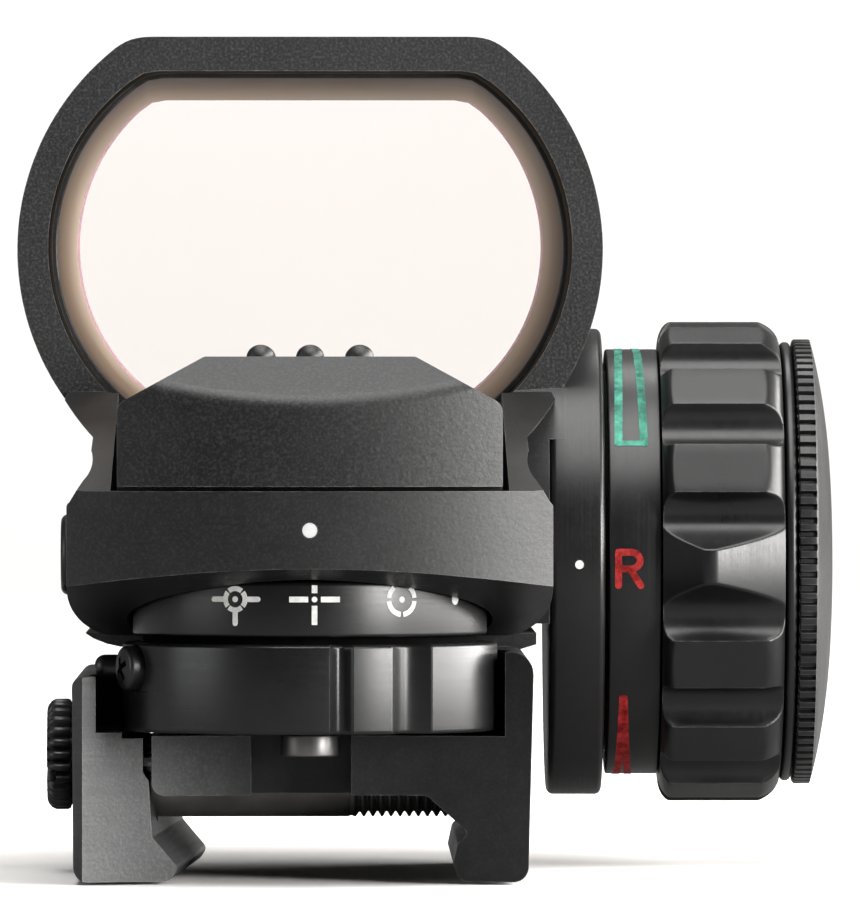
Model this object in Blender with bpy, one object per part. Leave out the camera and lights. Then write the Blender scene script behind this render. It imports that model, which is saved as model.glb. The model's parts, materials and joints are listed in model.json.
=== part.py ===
"""Open reflex red dot finder with a dovetail rail clamp, reticle selector and brightness knob.

Frame: +Z up, +Y along the viewing direction (front), +X to the right of the person looking
through it. The origin is the centre of the seat that lies on the top of the dovetail rail.
All dimensions are in millimetres; the last step converts every object to metres.
"""

import bpy
import bmesh
from math import asin, atan2, cos, degrees, pi, radians, sin, sqrt, tan
from mathutils import Matrix, Vector

MM = 0.001
SHARP_ANGLE = radians(32)
GAP = 0.3                       # between pieces that rest on or pass through each other

# Hood: flat top, round sides with centres at +-HOOD_SIDE_X
HOOD_REAR, HOOD_FRONT, HOOD_TOP = 10.0, 52.0, 52.1
HOOD_SIDE_X, HOOD_SIDE_Z, HOOD_R = 2.55, 37.2, 17.9
# Window outlines: top z, side arc centre x and z, side arc radius
FACE_WINDOW = (49.7, 3.8, 37.4, 14.5)
LIP_WINDOW = (49.25, 3.7, 37.4, 14.0)
LENS_WINDOW = (48.1, 3.4, 37.6, 13.2)
LENS_Y, LENS_THICKNESS = 30.0, 3.0
# Body
BODY_HALF, BODY_TOP, BODY_BOTTOM, FLOOR = 16.3, 20.6, 10.7, 16.2
BODY_CORNER_R = 3.1
REAR_Y, REAR_R, REAR_PLAN_HALF = -30.0, 38.7, 20.0      # rear end is an arc in plan
WALL_TOP, UNDERCUT_Z, UNDERCUT_SLOPE = 20.7, 15.5, 0.38
CHANNEL_HALF = 13.35
# Emitter block
BLOCK_HALF, BLOCK_TOP, BLOCK_TOP_HALF, BLOCK_FRONT = 12.9, 29.7, 7.05, 2.0
BLOCK_EDGE_Z, BLOCK_BOTTOM = 26.9, FLOOR + 2.6
PITCH_PIN_Y, PITCH_PIN_Z = -23.0, FLOOR + 2.1
# Reticle selector
DIAL_Y, DIAL_R, DIAL_Z0, DIAL_Z1 = -15.6, 12.0, 10.9, 14.6
RING_R, RING_Z0, RING_Z1 = 12.7, 4.4, 10.4
DRUM_R = 5.6
# Brightness knob
KNOB_Y, KNOB_Z = 21.0, 15.3
FLANGE_R, FLANGE_X0, FLANGE_X1 = 16.45, 16.65, 20.5
NUMBER_R, NUMBER_X1 = 15.0, 24.5
KNOB_R, KNOB_X1, FLUTES = 16.95, 33.05, 15
DISC_R, DISC_X1 = 15.5, 34.0
CAP_R, CAP_X1, CAP_DOME = 15.7, 35.3, 36.8
BATTERY_R = 10.0
# Rail clamp
BASE_Y0, BASE_Y1, BASE_TOP, PAD_TOP = -20.0, 20.0, 4.1, 10.4
JAW_LOW, JAW_OUT, JAW_IN = -5.8, -16.1, -11.3
SCREW_YS = (9.8, 15.5)          # screws that hold the housing on the clamp

# Centres of turned features, in the two coordinates across their axis
DIAL_AXIS = (0, DIAL_Y)                         # x, y
BALL_AXIS = (7.5, DIAL_Y + 2)                   # x, y
ELEVATION_AXIS = (5.5, -4.0)                    # x, y
ELEVATION_SPRING_AXIS = (-6.5, -4.0)            # x, y
WINDAGE_AXIS = (-1.5, 16.1)                     # y, z
WINDAGE_SPRING_AXIS = (-1.5, 18.1)              # y, z
KNOB_AXIS = (KNOB_Y, KNOB_Z)                    # y, z
CLAMP_AXIS = (4.0, 2.2)                         # y, z
CROSS_ROD_AXIS = (-9.0, 0.75)                   # y, z
GUIDE_AXES = ((-14.5, 2.2), (16.0, 2.2))        # y, z
REAR_DOT_AXIS = (0.0, 18.1)                     # x, z
SIDE_DOT_AXIS = (18.7, KNOB_Z)                  # x, z

# Finishes: base colour RGBA, roughness, metallic
FINISHES = {
    "satin_black_alloy": ((0.035, 0.036, 0.038, 1), 0.45, 0.6),
    "blasted_black_alloy": ((0.045, 0.046, 0.048, 1), 0.7, 0.5),
    "black_screw": ((0.03, 0.03, 0.032, 1), 0.35, 0.9),
    "steel": ((0.55, 0.55, 0.56, 1), 0.3, 1.0),
    "bronze_bezel": ((0.45, 0.33, 0.22, 1), 0.4, 0.3),
    "coated_glass": ((0.95, 0.92, 0.89, 1), 0.03, 0.0),
    "black_rubber": ((0.02, 0.02, 0.02, 1), 0.8, 0.0),
    "black_polymer": ((0.03, 0.03, 0.03, 1), 0.5, 0.0),
    "board_green": ((0.03, 0.2, 0.09, 1), 0.5, 0.0),
    "brass_contact": ((0.7, 0.5, 0.22, 1), 0.3, 1.0),
    "emitter_red": ((0.7, 0.05, 0.04, 1), 0.3, 0.0),
}


# ---------------------------------------------------------------- objects

def paint(obj, finish):
    """Give the object its own material in the named finish."""
    colour, roughness, metallic = FINISHES[finish]
    material = bpy.data.materials.new(finish + "_" + obj.name)
    material.use_nodes = True
    inputs = material.node_tree.nodes["Principled BSDF"].inputs
    inputs["Base Color"].default_value = colour
    inputs["Roughness"].default_value = roughness
    inputs["Metallic"].default_value = metallic
    material.diffuse_color = colour
    obj.data.materials.append(material)


def shade(mesh):
    mesh.shade_smooth()
    mesh.set_sharp_from_angle(angle=SHARP_ANGLE)


def make(name, bm, finish=None, origin=(0, 0, 0)):
    """Turn a bmesh into an object whose origin is at the given point."""
    bmesh.ops.remove_doubles(bm, verts=bm.verts, dist=1e-5)
    bmesh.ops.recalc_face_normals(bm, faces=bm.faces)
    origin = Vector(origin)
    for vert in bm.verts:
        vert.co = vert.co - origin
    mesh = bpy.data.meshes.new(name)
    bm.to_mesh(mesh)
    bm.free()
    shade(mesh)
    obj = bpy.data.objects.new(name, mesh)
    obj.location = origin
    bpy.context.scene.collection.objects.link(obj)
    if finish:
        paint(obj, finish)
    return obj


def bake(obj):
    """Replace an object's mesh by its modifier result, cleaned of slivers."""
    depsgraph = bpy.context.evaluated_depsgraph_get()
    depsgraph.update()
    mesh = bpy.data.meshes.new_from_object(obj.evaluated_get(depsgraph))
    obj.modifiers.clear()
    materials = list(obj.data.materials)
    obj.data = mesh
    mesh.materials.clear()
    for material in materials:
        mesh.materials.append(material)
    bm = bmesh.new()
    bm.from_mesh(mesh)
    bmesh.ops.remove_doubles(bm, verts=bm.verts, dist=2e-3)
    bmesh.ops.dissolve_degenerate(bm, edges=bm.edges, dist=1e-3)
    bm.to_mesh(mesh)
    bm.free()
    for polygon in mesh.polygons:
        polygon.material_index = 0
    shade(mesh)


def combine(obj, tools, operation="DIFFERENCE"):
    """Boolean the tool bmeshes into the object one after another and discard them."""
    for bm in tools:
        tool = make(obj.name + "_tool", bm)
        modifier = obj.modifiers.new("cut", "BOOLEAN")
        modifier.operation = operation
        modifier.solver = "EXACT"
        modifier.object = tool
        bake(obj)
        bpy.data.objects.remove(tool, do_unlink=True)


def take_mesh(obj):
    """Remove a temporary object and return its mesh as a bmesh."""
    bm = bmesh.new()
    bm.from_mesh(obj.data)
    bpy.data.objects.remove(obj, do_unlink=True)
    return bm


# ---------------------------------------------------------------- solids

def place(axis, along, u, v):
    """Map a distance along an axis and two coordinates across it to x, y, z."""
    if axis == "X":
        return (along, u, v)
    if axis == "Y":
        return (u, along, v)
    return (u, v, along)


def prism(points, start, end, axis):
    """Straight extrusion of a closed outline along an axis."""
    bm = bmesh.new()
    low = [bm.verts.new(place(axis, start, u, v)) for u, v in points]
    high = [bm.verts.new(place(axis, end, u, v)) for u, v in points]
    bm.faces.new(low)
    bm.faces.new(high[::-1])
    for i in range(len(points)):
        j = (i + 1) % len(points)
        bm.faces.new((low[i], high[i], high[j], low[j]))
    return bm


def box(x0, x1, y0, y1, z0, z1):
    return prism([(x0, y0), (x1, y0), (x1, y1), (x0, y1)], z0, z1, "Z")


def loft(sections):
    """Skin through closed outlines of equal point count, capped at both ends."""
    bm = bmesh.new()
    rings = [[bm.verts.new(point) for point in section] for section in sections]
    count = len(rings[0])
    for ring, following in zip(rings, rings[1:]):
        for i in range(count):
            j = (i + 1) % count
            bm.faces.new((ring[i], following[i], following[j], ring[j]))
    bm.faces.new(rings[0])
    bm.faces.new(rings[-1][::-1])
    return bm


def frame(outer, inner, y0, y1, inner_front=None):
    """Closed frame along Y between outlines of equal point count; the bore may taper."""
    bm = bmesh.new()
    outer0, outer1, inner0, inner1 = [
        [bm.verts.new((x, y, z)) for x, z in outline]
        for outline, y in ((outer, y0), (outer, y1), (inner, y0), (inner_front or inner, y1))]
    for i in range(len(outer)):
        j = (i + 1) % len(outer)
        bm.faces.new((outer0[i], outer0[j], inner0[j], inner0[i]))
        bm.faces.new((outer1[i], inner1[i], inner1[j], outer1[j]))
        bm.faces.new((outer0[i], outer1[i], outer1[j], outer0[j]))
        bm.faces.new((inner0[i], inner0[j], inner1[j], inner1[i]))
    return bm


def lathe(profile, segments, axis, centre, shape=None):
    """Turn a profile of (along, radius) about an axis.

    A radius of 0 closes on the axis; a profile with no end on the axis closes into a ring.
    shape(angle, along, radius) may return a changed radius.
    """
    bm = bmesh.new()
    rings = []
    for along, radius in profile:
        if radius <= 1e-9:
            rings.append([bm.verts.new(place(axis, along, *centre))])
            continue
        ring = []
        for k in range(segments):
            angle = 2 * pi * k / segments
            r = shape(angle, along, radius) if shape else radius
            ring.append(bm.verts.new(place(
                axis, along, centre[0] + r * cos(angle), centre[1] + r * sin(angle))))
        rings.append(ring)
    pairs = list(zip(rings, rings[1:]))
    if len(rings[0]) > 1 and len(rings[-1]) > 1:
        pairs.append((rings[-1], rings[0]))
    for ring, following in pairs:
        for k in range(segments):
            m = (k + 1) % segments
            if len(ring) == 1:
                bm.faces.new((ring[0], following[k], following[m]))
            elif len(following) == 1:
                bm.faces.new((ring[k], following[0], ring[m]))
            else:
                bm.faces.new((ring[k], following[k], following[m], ring[m]))
    return bm


def rod(radius, start, end, segments, axis, centre):
    return lathe([(start, 0), (start, radius), (end, radius), (end, 0)], segments, axis, centre)


def washer(inner, outer, start, end, segments, axis, centre):
    profile = [(start, inner), (start, outer), (end, outer), (end, inner)]
    return lathe(profile, segments, axis, centre)


def coil(radius, start, end, axis, centre):
    """Three-turn spring of square wire."""
    wire, turns, steps, sides = 0.16, 3, 10, 4
    total = turns * steps
    rings = []
    for k in range(total + 1):
        turn = 2 * pi * k / steps
        along = start + wire + (end - start - 2 * wire) * k / total
        ring = []
        for side in range(sides):
            angle = 2 * pi * side / sides
            r = radius + wire * cos(angle)
            ring.append(place(axis, along + wire * sin(angle),
                              centre[0] + r * cos(turn), centre[1] + r * sin(turn)))
        rings.append(ring)
    return loft(rings)


# ---------------------------------------------------------------- outlines

def polar(centre, radius, angle_deg):
    angle = radians(angle_deg)
    return (centre[0] + radius * cos(angle), centre[1] + radius * sin(angle))


def arc(cx, cy, radius, start, end, segments):
    angles = [start + (end - start) * i / segments for i in range(segments + 1)]
    return [(cx + radius * cos(angle), cy + radius * sin(angle)) for angle in angles]


def fillet(corners, segments=3):
    """Round each (x, y, radius) corner of a closed outline."""
    points = []
    for i, (x, y, radius) in enumerate(corners):
        if radius <= 0:
            points.append((x, y))
            continue
        corner = Vector((x, y))
        back = (Vector(corners[i - 1][:2]) - corner).normalized()
        ahead = (Vector(corners[(i + 1) % len(corners)][:2]) - corner).normalized()
        half = back.angle(ahead) / 2
        reach = radius / tan(half)
        centre = corner + (back + ahead).normalized() * (radius / sin(half))
        first = corner + back * reach - centre
        last = corner + ahead * reach - centre
        start, end = atan2(first.y, first.x), atan2(last.y, last.x)
        while end - start > pi:
            end -= 2 * pi
        while end - start < -pi:
            end += 2 * pi
        points += arc(centre.x, centre.y, radius, start, end, segments)
    return points


def window(outline, low, grow_top=0.0, grow_r=0.0):
    """Outline with flat top, flat bottom at z = low and round sides, counter-clockwise."""
    top, cx, cz, radius = outline
    top += grow_top
    radius += grow_r
    right = arc(cx, cz, radius, -asin((cz - low) / radius), asin((top - cz) / radius), 10)
    return right + [(-x, z) for x, z in reversed(right)]


def mirrored(half):
    """Close a right half outline that starts and ends on x = 0."""
    return half + [(-x, z) for x, z in reversed(half[1:-1])]


def rear_plan(front_y):
    """Plan outline straight at front_y and rounded to REAR_R at the rear end."""
    reach = asin(REAR_PLAN_HALF / REAR_R)
    angles = [-reach + 2 * reach * i / 16 for i in range(17)]
    rear = [(REAR_R * sin(a), REAR_Y + REAR_R - REAR_R * cos(a)) for a in angles]
    return [(REAR_PLAN_HALF, front_y), (-REAR_PLAN_HALF, front_y)] + rear


def body_half_outline():
    """Right half of the body and hood section, from the bottom up to the hood top."""
    corner_x = BODY_HALF - BODY_CORNER_R
    points = [(0.0, BODY_BOTTOM), (corner_x, BODY_BOTTOM)]
    points += arc(corner_x, BODY_BOTTOM + BODY_CORNER_R, BODY_CORNER_R, -pi / 2, 0, 4)[1:]
    points += [(BODY_HALF, BODY_TOP - 0.6)]
    # concave waist between body and hood
    points += arc(BODY_HALF + 0.15, 22.6, 1.72, pi + radians(52), pi - radians(25), 4)[1:]
    points += arc(HOOD_SIDE_X, HOOD_SIDE_Z, HOOD_R, -asin((HOOD_SIDE_Z - 24.2) / HOOD_R),
                  asin((HOOD_TOP - 1.0 - HOOD_SIDE_Z) / HOOD_R), 12)
    return points + [(11.9, HOOD_TOP - 0.15), (11.2, HOOD_TOP), (0.0, HOOD_TOP)]


# ---------------------------------------------------------------- housing

# y, width factor, drop of the top
HOOD_STATIONS = (
    (HOOD_REAR, 1.0, 0.0),
    (HOOD_REAR + 22, 0.985, 0.5),
    (HOOD_FRONT, 0.955, 1.9),
)
HOOD_TAPER_Z = 24               # the hood narrows and drops only above this height
CHEEK_LIMIT, CHEEK_TOP = 26.9, 27.3

# radius, start, end, segments, axis, centre
HOUSING_HOLES = [
    (DIAL_R + 0.4, BODY_BOTTOM - 8, DIAL_Z1 + GAP, 48, "Z", DIAL_AXIS),     # dial pocket
    (2.35, DIAL_Z1, FLOOR + 1, 24, "Z", DIAL_AXIS),                         # dial shaft
    (13.2, 18.0, FLANGE_X1 + 1, 32, "X", KNOB_AXIS),                        # flange pocket
    (1.3, 12, 19, 16, "X", (9.0, 18.6)),                                    # wire
    (1.35, BODY_BOTTOM - 1, 14.6, 12, "Z", (0, SCREW_YS[0])),               # base screws
    (1.35, BODY_BOTTOM - 1, 14.6, 12, "Z", (0, SCREW_YS[1])),
    (3.05, -17.4, -15.2, 24, "X", WINDAGE_AXIS),                            # screw head
    (1.5, -15.3, -13.0, 16, "X", WINDAGE_AXIS),                             # screw thread
    (1.35, 13.0, 15.4, 16, "X", WINDAGE_SPRING_AXIS),
    (0.535, REAR_Y - 1, REAR_Y + 0.7, 12, "Y", REAR_DOT_AXIS),
    (0.33, KNOB_Y - FLANGE_R - 1, KNOB_Y - FLANGE_R + 0.5, 10, "Y", SIDE_DOT_AXIS),
    (2.2, 14.2, 18.5, 20, "X", KNOB_AXIS),                                  # knob post
    (0.8, DIAL_Z1, FLOOR - 0.4, 12, "Z", BALL_AXIS),                        # detent ball
]


def hood_and_body():
    """Full section from the hood's rear face to its front, tapering forward."""
    sections = []
    for y, width, drop in HOOD_STATIONS:
        section = []
        for x, z in mirrored(body_half_outline()):
            rise = z - HOOD_TAPER_Z
            if rise > 0:
                x *= 1 + (width - 1) * min(1.0, rise / 8)
                z -= drop * rise / (HOOD_TOP - HOOD_TAPER_Z)
            section.append((x, y, z))
        sections.append(section)
    return loft(sections)


def rear_body():
    """Low body behind the hood, round in plan, its top sloping down to the rear."""
    half = [point for point in body_half_outline() if point[1] < CHEEK_LIMIT]
    half += [(half[-1][0] - 0.2, CHEEK_TOP), (0.0, CHEEK_TOP)]
    rear = make("rear_body", prism(mirrored(half), REAR_Y - 2, HOOD_REAR + 0.4, "Y"))
    combine(rear, [prism(rear_plan(HOOD_REAR + 2), 0, 40, "Z")], "INTERSECT")
    slope_top = [(REAR_Y - 5, WALL_TOP), (REAR_Y + 3.0, WALL_TOP), (HOOD_REAR, 27.4),
                 (HOOD_REAR + 3, 27.4), (HOOD_REAR + 3, 45), (REAR_Y - 5, 45)]
    combine(rear, [prism(slope_top, -30, 30, "X")])
    return take_mesh(rear)


def flange_root():
    """Disc that joins the knob flange to the body side, trimmed to the body height."""
    root = make("flange_root", rod(FLANGE_R - 0.05, 13.9, FLANGE_X0 + 1.5, 48, "X", KNOB_AXIS))
    combine(root, [box(12, 30, -30, 70, BODY_BOTTOM + 0.5, 31.0)], "INTERSECT")
    return take_mesh(root)


def build_housing():
    housing = make("main_housing", hood_and_body(), "satin_black_alloy")
    flange = [(FLANGE_X0, 0), (FLANGE_X0, FLANGE_R - 0.45), (FLANGE_X0 + 0.5, FLANGE_R),
              (FLANGE_X1 - 0.4, FLANGE_R), (FLANGE_X1, FLANGE_R - 0.35), (FLANGE_X1, 0)]
    combine(housing, [rear_body(), flange_root(), lathe(flange, 48, "X", KNOB_AXIS)], "UNION")
    # the front face of the hood leans back towards the top (y, z)
    lean = [(HOOD_FRONT - 0.6, 5), (HOOD_FRONT - 0.6, 20), (HOOD_FRONT - 6.5, 60),
            (HOOD_FRONT + 9, 60), (HOOD_FRONT + 9, 5)]
    # the underside slopes up towards the rear, above the thumb ring (y, z)
    undercut = [(REAR_Y - 5, UNDERCUT_Z + 5 * UNDERCUT_SLOPE), (REAR_Y, UNDERCUT_Z),
                (-26.9, 14.42), (-21.0, 13.05), (-10.2, BODY_BOTTOM), (-9.2, 10.48),
                (-10.2, 0), (REAR_Y - 5, 0)]
    rear_bore = window(FACE_WINDOW, 25.5)
    seat_bore = window(FACE_WINDOW, 23.5, 0.2, 0.1)
    front_bore = window(LENS_WINDOW, 25.4, 0.6, 0.55)
    combine(housing, [
        prism(lean, -40, 40, "X"),
        prism(undercut, -30, 30, "X"),
        box(-CHANNEL_HALF, CHANNEL_HALF, REAR_Y + 3.4, LENS_Y - 4.0, FLOOR, 34),
        box(-CHANNEL_HALF, CHANNEL_HALF, REAR_Y - 4, REAR_Y + 3.5, WALL_TOP, 34),
        prism(rear_bore, HOOD_REAR - 1, HOOD_REAR + 1.6, "Y"),
        prism(seat_bore, HOOD_REAR + 1.5, LENS_Y + 4.6, "Y"),
        prism(front_bore, LENS_Y + 3, HOOD_FRONT + 3, "Y"),
    ] + [rod(*hole) for hole in HOUSING_HOLES])


def build_index_dots():
    make("rear_index_dot", rod(0.5, REAR_Y + 0.04, REAR_Y + 0.6, 14, "Y", REAR_DOT_AXIS), "steel")
    flange_rear = KNOB_Y - FLANGE_R
    make("side_index_dot",
         rod(0.3, flange_rear - 0.02, flange_rear + 0.45, 10, "Y", SIDE_DOT_AXIS), "steel")


# ---------------------------------------------------------------- lens group

LENS_CENTRE_Z, LENS_RIM_R = 37.0, 21.0      # the dome height is zero at LENS_RIM_R
LENS_REAR_CURVE, LENS_FRONT_CURVE = 190.0, 200.0


def dome_ring(y, curve, scale, outline):
    """Scaled copy of an (x, z) outline, lying on a sphere that bulges to the front."""
    ring = []
    for x, z in outline:
        dx, dz = x * scale, (z - LENS_CENTRE_Z) * scale
        bulge = sqrt(curve ** 2 - dx ** 2 - dz ** 2) - sqrt(curve ** 2 - LENS_RIM_R ** 2)
        ring.append((dx, y + bulge, LENS_CENTRE_Z + dz))
    return ring


def build_lens_group():
    bezel = frame(window(FACE_WINDOW, 23.9, -0.1, -0.2), window(LIP_WINDOW, 25.0),
                  HOOD_REAR + 1.9, LENS_Y - 0.3, window(LENS_WINDOW, 25.6))
    make("lens_bezel", bezel, "bronze_bezel")
    edge = window(FACE_WINDOW, 24.3, -0.5, -0.5)
    front = LENS_Y + LENS_THICKNESS
    rings = [dome_ring(LENS_Y, LENS_REAR_CURVE, scale, edge) for scale in (0.25, 0.6, 1.0)]
    rings += [dome_ring(front, LENS_FRONT_CURVE, scale, edge) for scale in (1.0, 0.6, 0.25)]
    make("objective_lens", loft(rings), "coated_glass")
    gasket_bore = window(LENS_WINDOW, 25.5, 0.35, 0.3)
    make("lens_gasket", frame(edge, gasket_bore, front + 0.9, front + 1.5), "black_rubber")


# ---------------------------------------------------------------- emitter carriage and block

DRUM_CAVITY_R = DRUM_R + 1.0
RIB_XS = (-3.3, 0.0, 3.35)


def build_carriage():
    half, rear, front = BLOCK_HALF - 0.2, REAR_Y + 4.2, 1.6
    plan = fillet([(-half, rear, 1), (half, rear, 1), (half, front, 1), (-half, front, 1)], 2)
    carriage = make("emitter_carriage", prism(plan, FLOOR + GAP, FLOOR + 2.3, "Z"),
                    "satin_black_alloy", (0, DIAL_Y, FLOOR))
    combine(carriage, [
        rod(DRUM_CAVITY_R, FLOOR - 1, FLOOR + 4, 28, "Z", DIAL_AXIS),
        rod(0.9, FLOOR + 1.5, FLOOR + 4, 12, "Z", ELEVATION_AXIS),
        box(-14, 14, PITCH_PIN_Y - 0.9, PITCH_PIN_Y + 0.9, FLOOR + 1.35, FLOOR + 3.0)])
    make("pitch_pin", rod(0.6, -11.5, 11.5, 12, "X", (PITCH_PIN_Y, PITCH_PIN_Z)), "steel")


def rib(x):
    """Round-topped rib along Y on top of the block."""
    outline = [(x - 0.95, BLOCK_TOP - 0.6)]
    for k in range(7):
        angle = pi - pi * k / 6
        outline.append((x + 0.92 * cos(angle), BLOCK_TOP - 0.1 + 0.82 * sin(angle)))
    outline.append((x + 0.95, BLOCK_TOP - 0.6))
    return prism(outline, -25.6, BLOCK_FRONT - 3.5, "Y")


def build_block():
    side = [(REAR_Y + 3.9, BLOCK_BOTTOM), (BLOCK_FRONT, BLOCK_BOTTOM),
            (BLOCK_FRONT - 1.5, BLOCK_TOP), (-26.35, BLOCK_TOP), (REAR_Y, 26.75),
            (REAR_Y - 3, 24.33), (REAR_Y - 3, WALL_TOP + 0.3), (REAR_Y + 3.9, WALL_TOP + 0.3)]
    block = make("emitter_block", prism(side, -BLOCK_HALF, BLOCK_HALF, "X"),
                 "blasted_black_alloy", (0, PITCH_PIN_Y, PITCH_PIN_Z))
    bottom, top = BLOCK_BOTTOM - 1, BLOCK_TOP + 0.02
    cross_section = [(-BLOCK_HALF, bottom), (BLOCK_HALF, bottom), (BLOCK_HALF, BLOCK_EDGE_Z),
                     (BLOCK_TOP_HALF, top), (-BLOCK_TOP_HALF, top), (-BLOCK_HALF, BLOCK_EDGE_Z)]
    combine(block, [prism(rear_plan(20), 0, 40, "Z"), prism(cross_section, -40, 20, "Y")],
            "INTERSECT")
    combine(block, [rib(x) for x in RIB_XS], "UNION")
    combine(block, [
        rod(DRUM_CAVITY_R, BLOCK_BOTTOM - 2, 27.0, 28, "Z", DIAL_AXIS),
        box(-3.2, 3.2, DIAL_Y, BLOCK_FRONT + 2, 21.0, 26.0),            # light path
        box(-14, 14, PITCH_PIN_Y - 0.75, PITCH_PIN_Y + 0.75, bottom, BLOCK_BOTTOM + 0.35),
        rod(1.75, 27.5, 32, 20, "Z", ELEVATION_AXIS),
        rod(1.15, bottom, 28, 16, "Z", ELEVATION_AXIS),
        rod(1.4, bottom, BLOCK_BOTTOM + 2.2, 16, "Z", ELEVATION_SPRING_AXIS)])


def build_emitter():
    make("emitter_window", box(-2.9, 2.9, 0.4, 0.9, 21.3, 25.7), "coated_glass")
    make("led_board", box(-3.0, 3.0, DIAL_Y - 3.0, DIAL_Y + 3.0, 25.9, 26.7), "board_green")
    emitter = [(21.6, 0), (21.9, 0.9), (22.8, 1.5), (25.6, 1.5), (25.6, 0)]
    make("led_emitter", lathe(emitter, 20, "Z", DIAL_AXIS), "emitter_red")


def build_adjusters():
    """Elevation and windage screws with their springs."""
    elevation = [(19.1, 0), (19.1, 0.95), (27.8, 0.95), (27.8, 1.45), (29.2, 1.45), (29.2, 0)]
    make("elevation_screw", lathe(elevation, 20, "Z", ELEVATION_AXIS),
         "black_screw", (*ELEVATION_AXIS, 28.0))
    windage = [(-17.15, 0), (-17.15, 2.35), (-16.75, 2.75), (-15.5, 2.75), (-15.5, 1.2),
               (-13.25, 1.2), (-13.25, 0)]
    make("windage_screw", lathe(windage, 28, "X", WINDAGE_AXIS),
         "black_screw", (-16.0, *WINDAGE_AXIS))
    make("windage_spring", coil(0.85, 12.9, 15.2, "X", WINDAGE_SPRING_AXIS), "steel")
    elevation_coil = coil(0.9, FLOOR + 2.45, BLOCK_BOTTOM + 1.9, "Z", ELEVATION_SPRING_AXIS)
    make("elevation_spring", elevation_coil, "steel")


# ---------------------------------------------------------------- reticle selector

POSITIONS, POSITION_PITCH = (-1, 0, 1, 2), 33       # dial positions and degrees between them
APERTURE_Z = 23.4
BALL_R = 0.45
RING_NOTCHES = ((277.5, 5.5), (298.5, 9.0))         # centre and half width, degrees
NOTCH_DEPTH = 1.1
STOP_Z = 8.7
STOP_SCREW_ANGLE = atan2(-0.38, -0.93)              # to the left and rear
STOP_PIN_ANGLE = pi                                 # to the left


def around_dial(bm, angle):
    """Turn a bmesh built about the world Z axis by an angle and move it to the dial axis."""
    matrix = Matrix.Translation((0, DIAL_Y, 0)) @ Matrix.Rotation(angle, 4, "Z")
    bmesh.ops.transform(bm, matrix=matrix, verts=bm.verts)
    return bm


def build_dial():
    profile = [(9.2, 0), (9.2, 2.6), (DIAL_Z0, 2.6), (DIAL_Z0, DIAL_R), (DIAL_Z1, DIAL_R),
               (DIAL_Z1, 2.0), (18.9, 2.0), (18.9, 0)]
    dial = make("reticle_dial", lathe(profile, 48, "Z", DIAL_AXIS),
                "satin_black_alloy", (*DIAL_AXIS, 12.7))
    combine(dial, [rod(0.5, DIAL_Z1 - 0.25, DIAL_Z1 + 1, 8, "Z",
                       polar(DIAL_AXIS, 7.75, 14.5 + POSITION_PITCH * k)) for k in POSITIONS])
    ball = [(DIAL_Z1 + 0.05 + BALL_R * (1 - cos(pi * k / 6)), BALL_R * sin(pi * k / 6))
            for k in range(7)]
    make("detent_ball", lathe(ball, 10, "Z", BALL_AXIS), "steel")


def build_drum():
    """Cup with a small hole through its wall for each reticle."""
    bore = DRUM_R - 0.6
    profile = [(19.2, 0), (19.2, DRUM_R), (25.5, DRUM_R), (25.5, bore), (20.0, bore), (20.0, 0)]
    drum = make("reticle_drum", lathe(profile, 32, "Z", DIAL_AXIS),
                "black_polymer", (*DIAL_AXIS, 20))
    combine(drum, [around_dial(rod(0.5, 3.5, 7.5, 10, "X", (0, APERTURE_Z)),
                               radians(90 - POSITION_PITCH * k)) for k in POSITIONS])


def notched(angle, along, radius):
    """Two finger notches with a ridge between them on the rear of the thumb ring."""
    depth = 0.0
    for centre, half in RING_NOTCHES:
        offset = abs(degrees(angle) - centre)
        if offset < half:
            depth = max(depth, NOTCH_DEPTH * cos(pi / 2 * offset / half))
    return radius - depth


def build_selector_ring():
    profile = [(RING_Z0, 0), (RING_Z0, RING_R), (RING_Z1, RING_R), (RING_Z1, 0)]
    ring = make("selector_ring", lathe(profile, 96, "Z", DIAL_AXIS, notched),
                "satin_black_alloy", (*DIAL_AXIS, 7.4))
    combine(ring, [
        rod(2.9, 8.9, 12, 24, "Z", DIAL_AXIS),
        rod(1.75, 3, 9.5, 20, "Z", DIAL_AXIS),
        around_dial(rod(0.95, 10.5, 14.5, 16, "X", (0, STOP_Z)), STOP_SCREW_ANGLE),
        around_dial(rod(1.15, 10.5, 14.5, 16, "X", (0, STOP_Z)), STOP_PIN_ANGLE)])
    dial_screw = [(2.6, 0), (2.6, 2.0), (4.1, 2.0), (4.1, 1.45), (8.6, 1.45), (8.6, 0)]
    make("dial_screw", lathe(dial_screw, 24, "Z", DIAL_AXIS), "black_screw", (*DIAL_AXIS, 3.5))


def build_stops():
    """Radial screw and pin in the thumb ring."""
    screw = [(10.8, 0), (10.8, 0.7), (13.0, 0.7), (13.0, 1.5), (13.45, 1.5), (13.75, 1.2),
             (13.85, 0)]
    pin = [(10.8, 0), (10.8, 0.82), (14.1, 0.82), (14.5, 0.5), (14.6, 0)]
    for name, profile, segments, angle in (("stop_screw", screw, 20, STOP_SCREW_ANGLE),
                                           ("stop_pin", pin, 16, STOP_PIN_ANGLE)):
        bm = around_dial(lathe(profile, segments, "X", (0, STOP_Z)), angle)
        make(name, bm, "black_screw", (*DIAL_AXIS, STOP_Z))


# ---------------------------------------------------------------- brightness knob

FLUTE_DEPTH = 1.45
FLUTE_ROOT = KNOB_R - FLUTE_DEPTH
LAND_HALF = radians(6.4)
CREST_R, CREST_X0, CREST_X1, CREST_FALL = 17.42, 27.35, 28.15, 1.8
CREST_HALF = radians(8.1)
KNURL_DEPTH, CAP_TEETH = 0.35, 24
KNOB_SCREW_AXES = [polar(KNOB_AXIS, 7.5, 90 + 120 * k) for k in range(3)]


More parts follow.
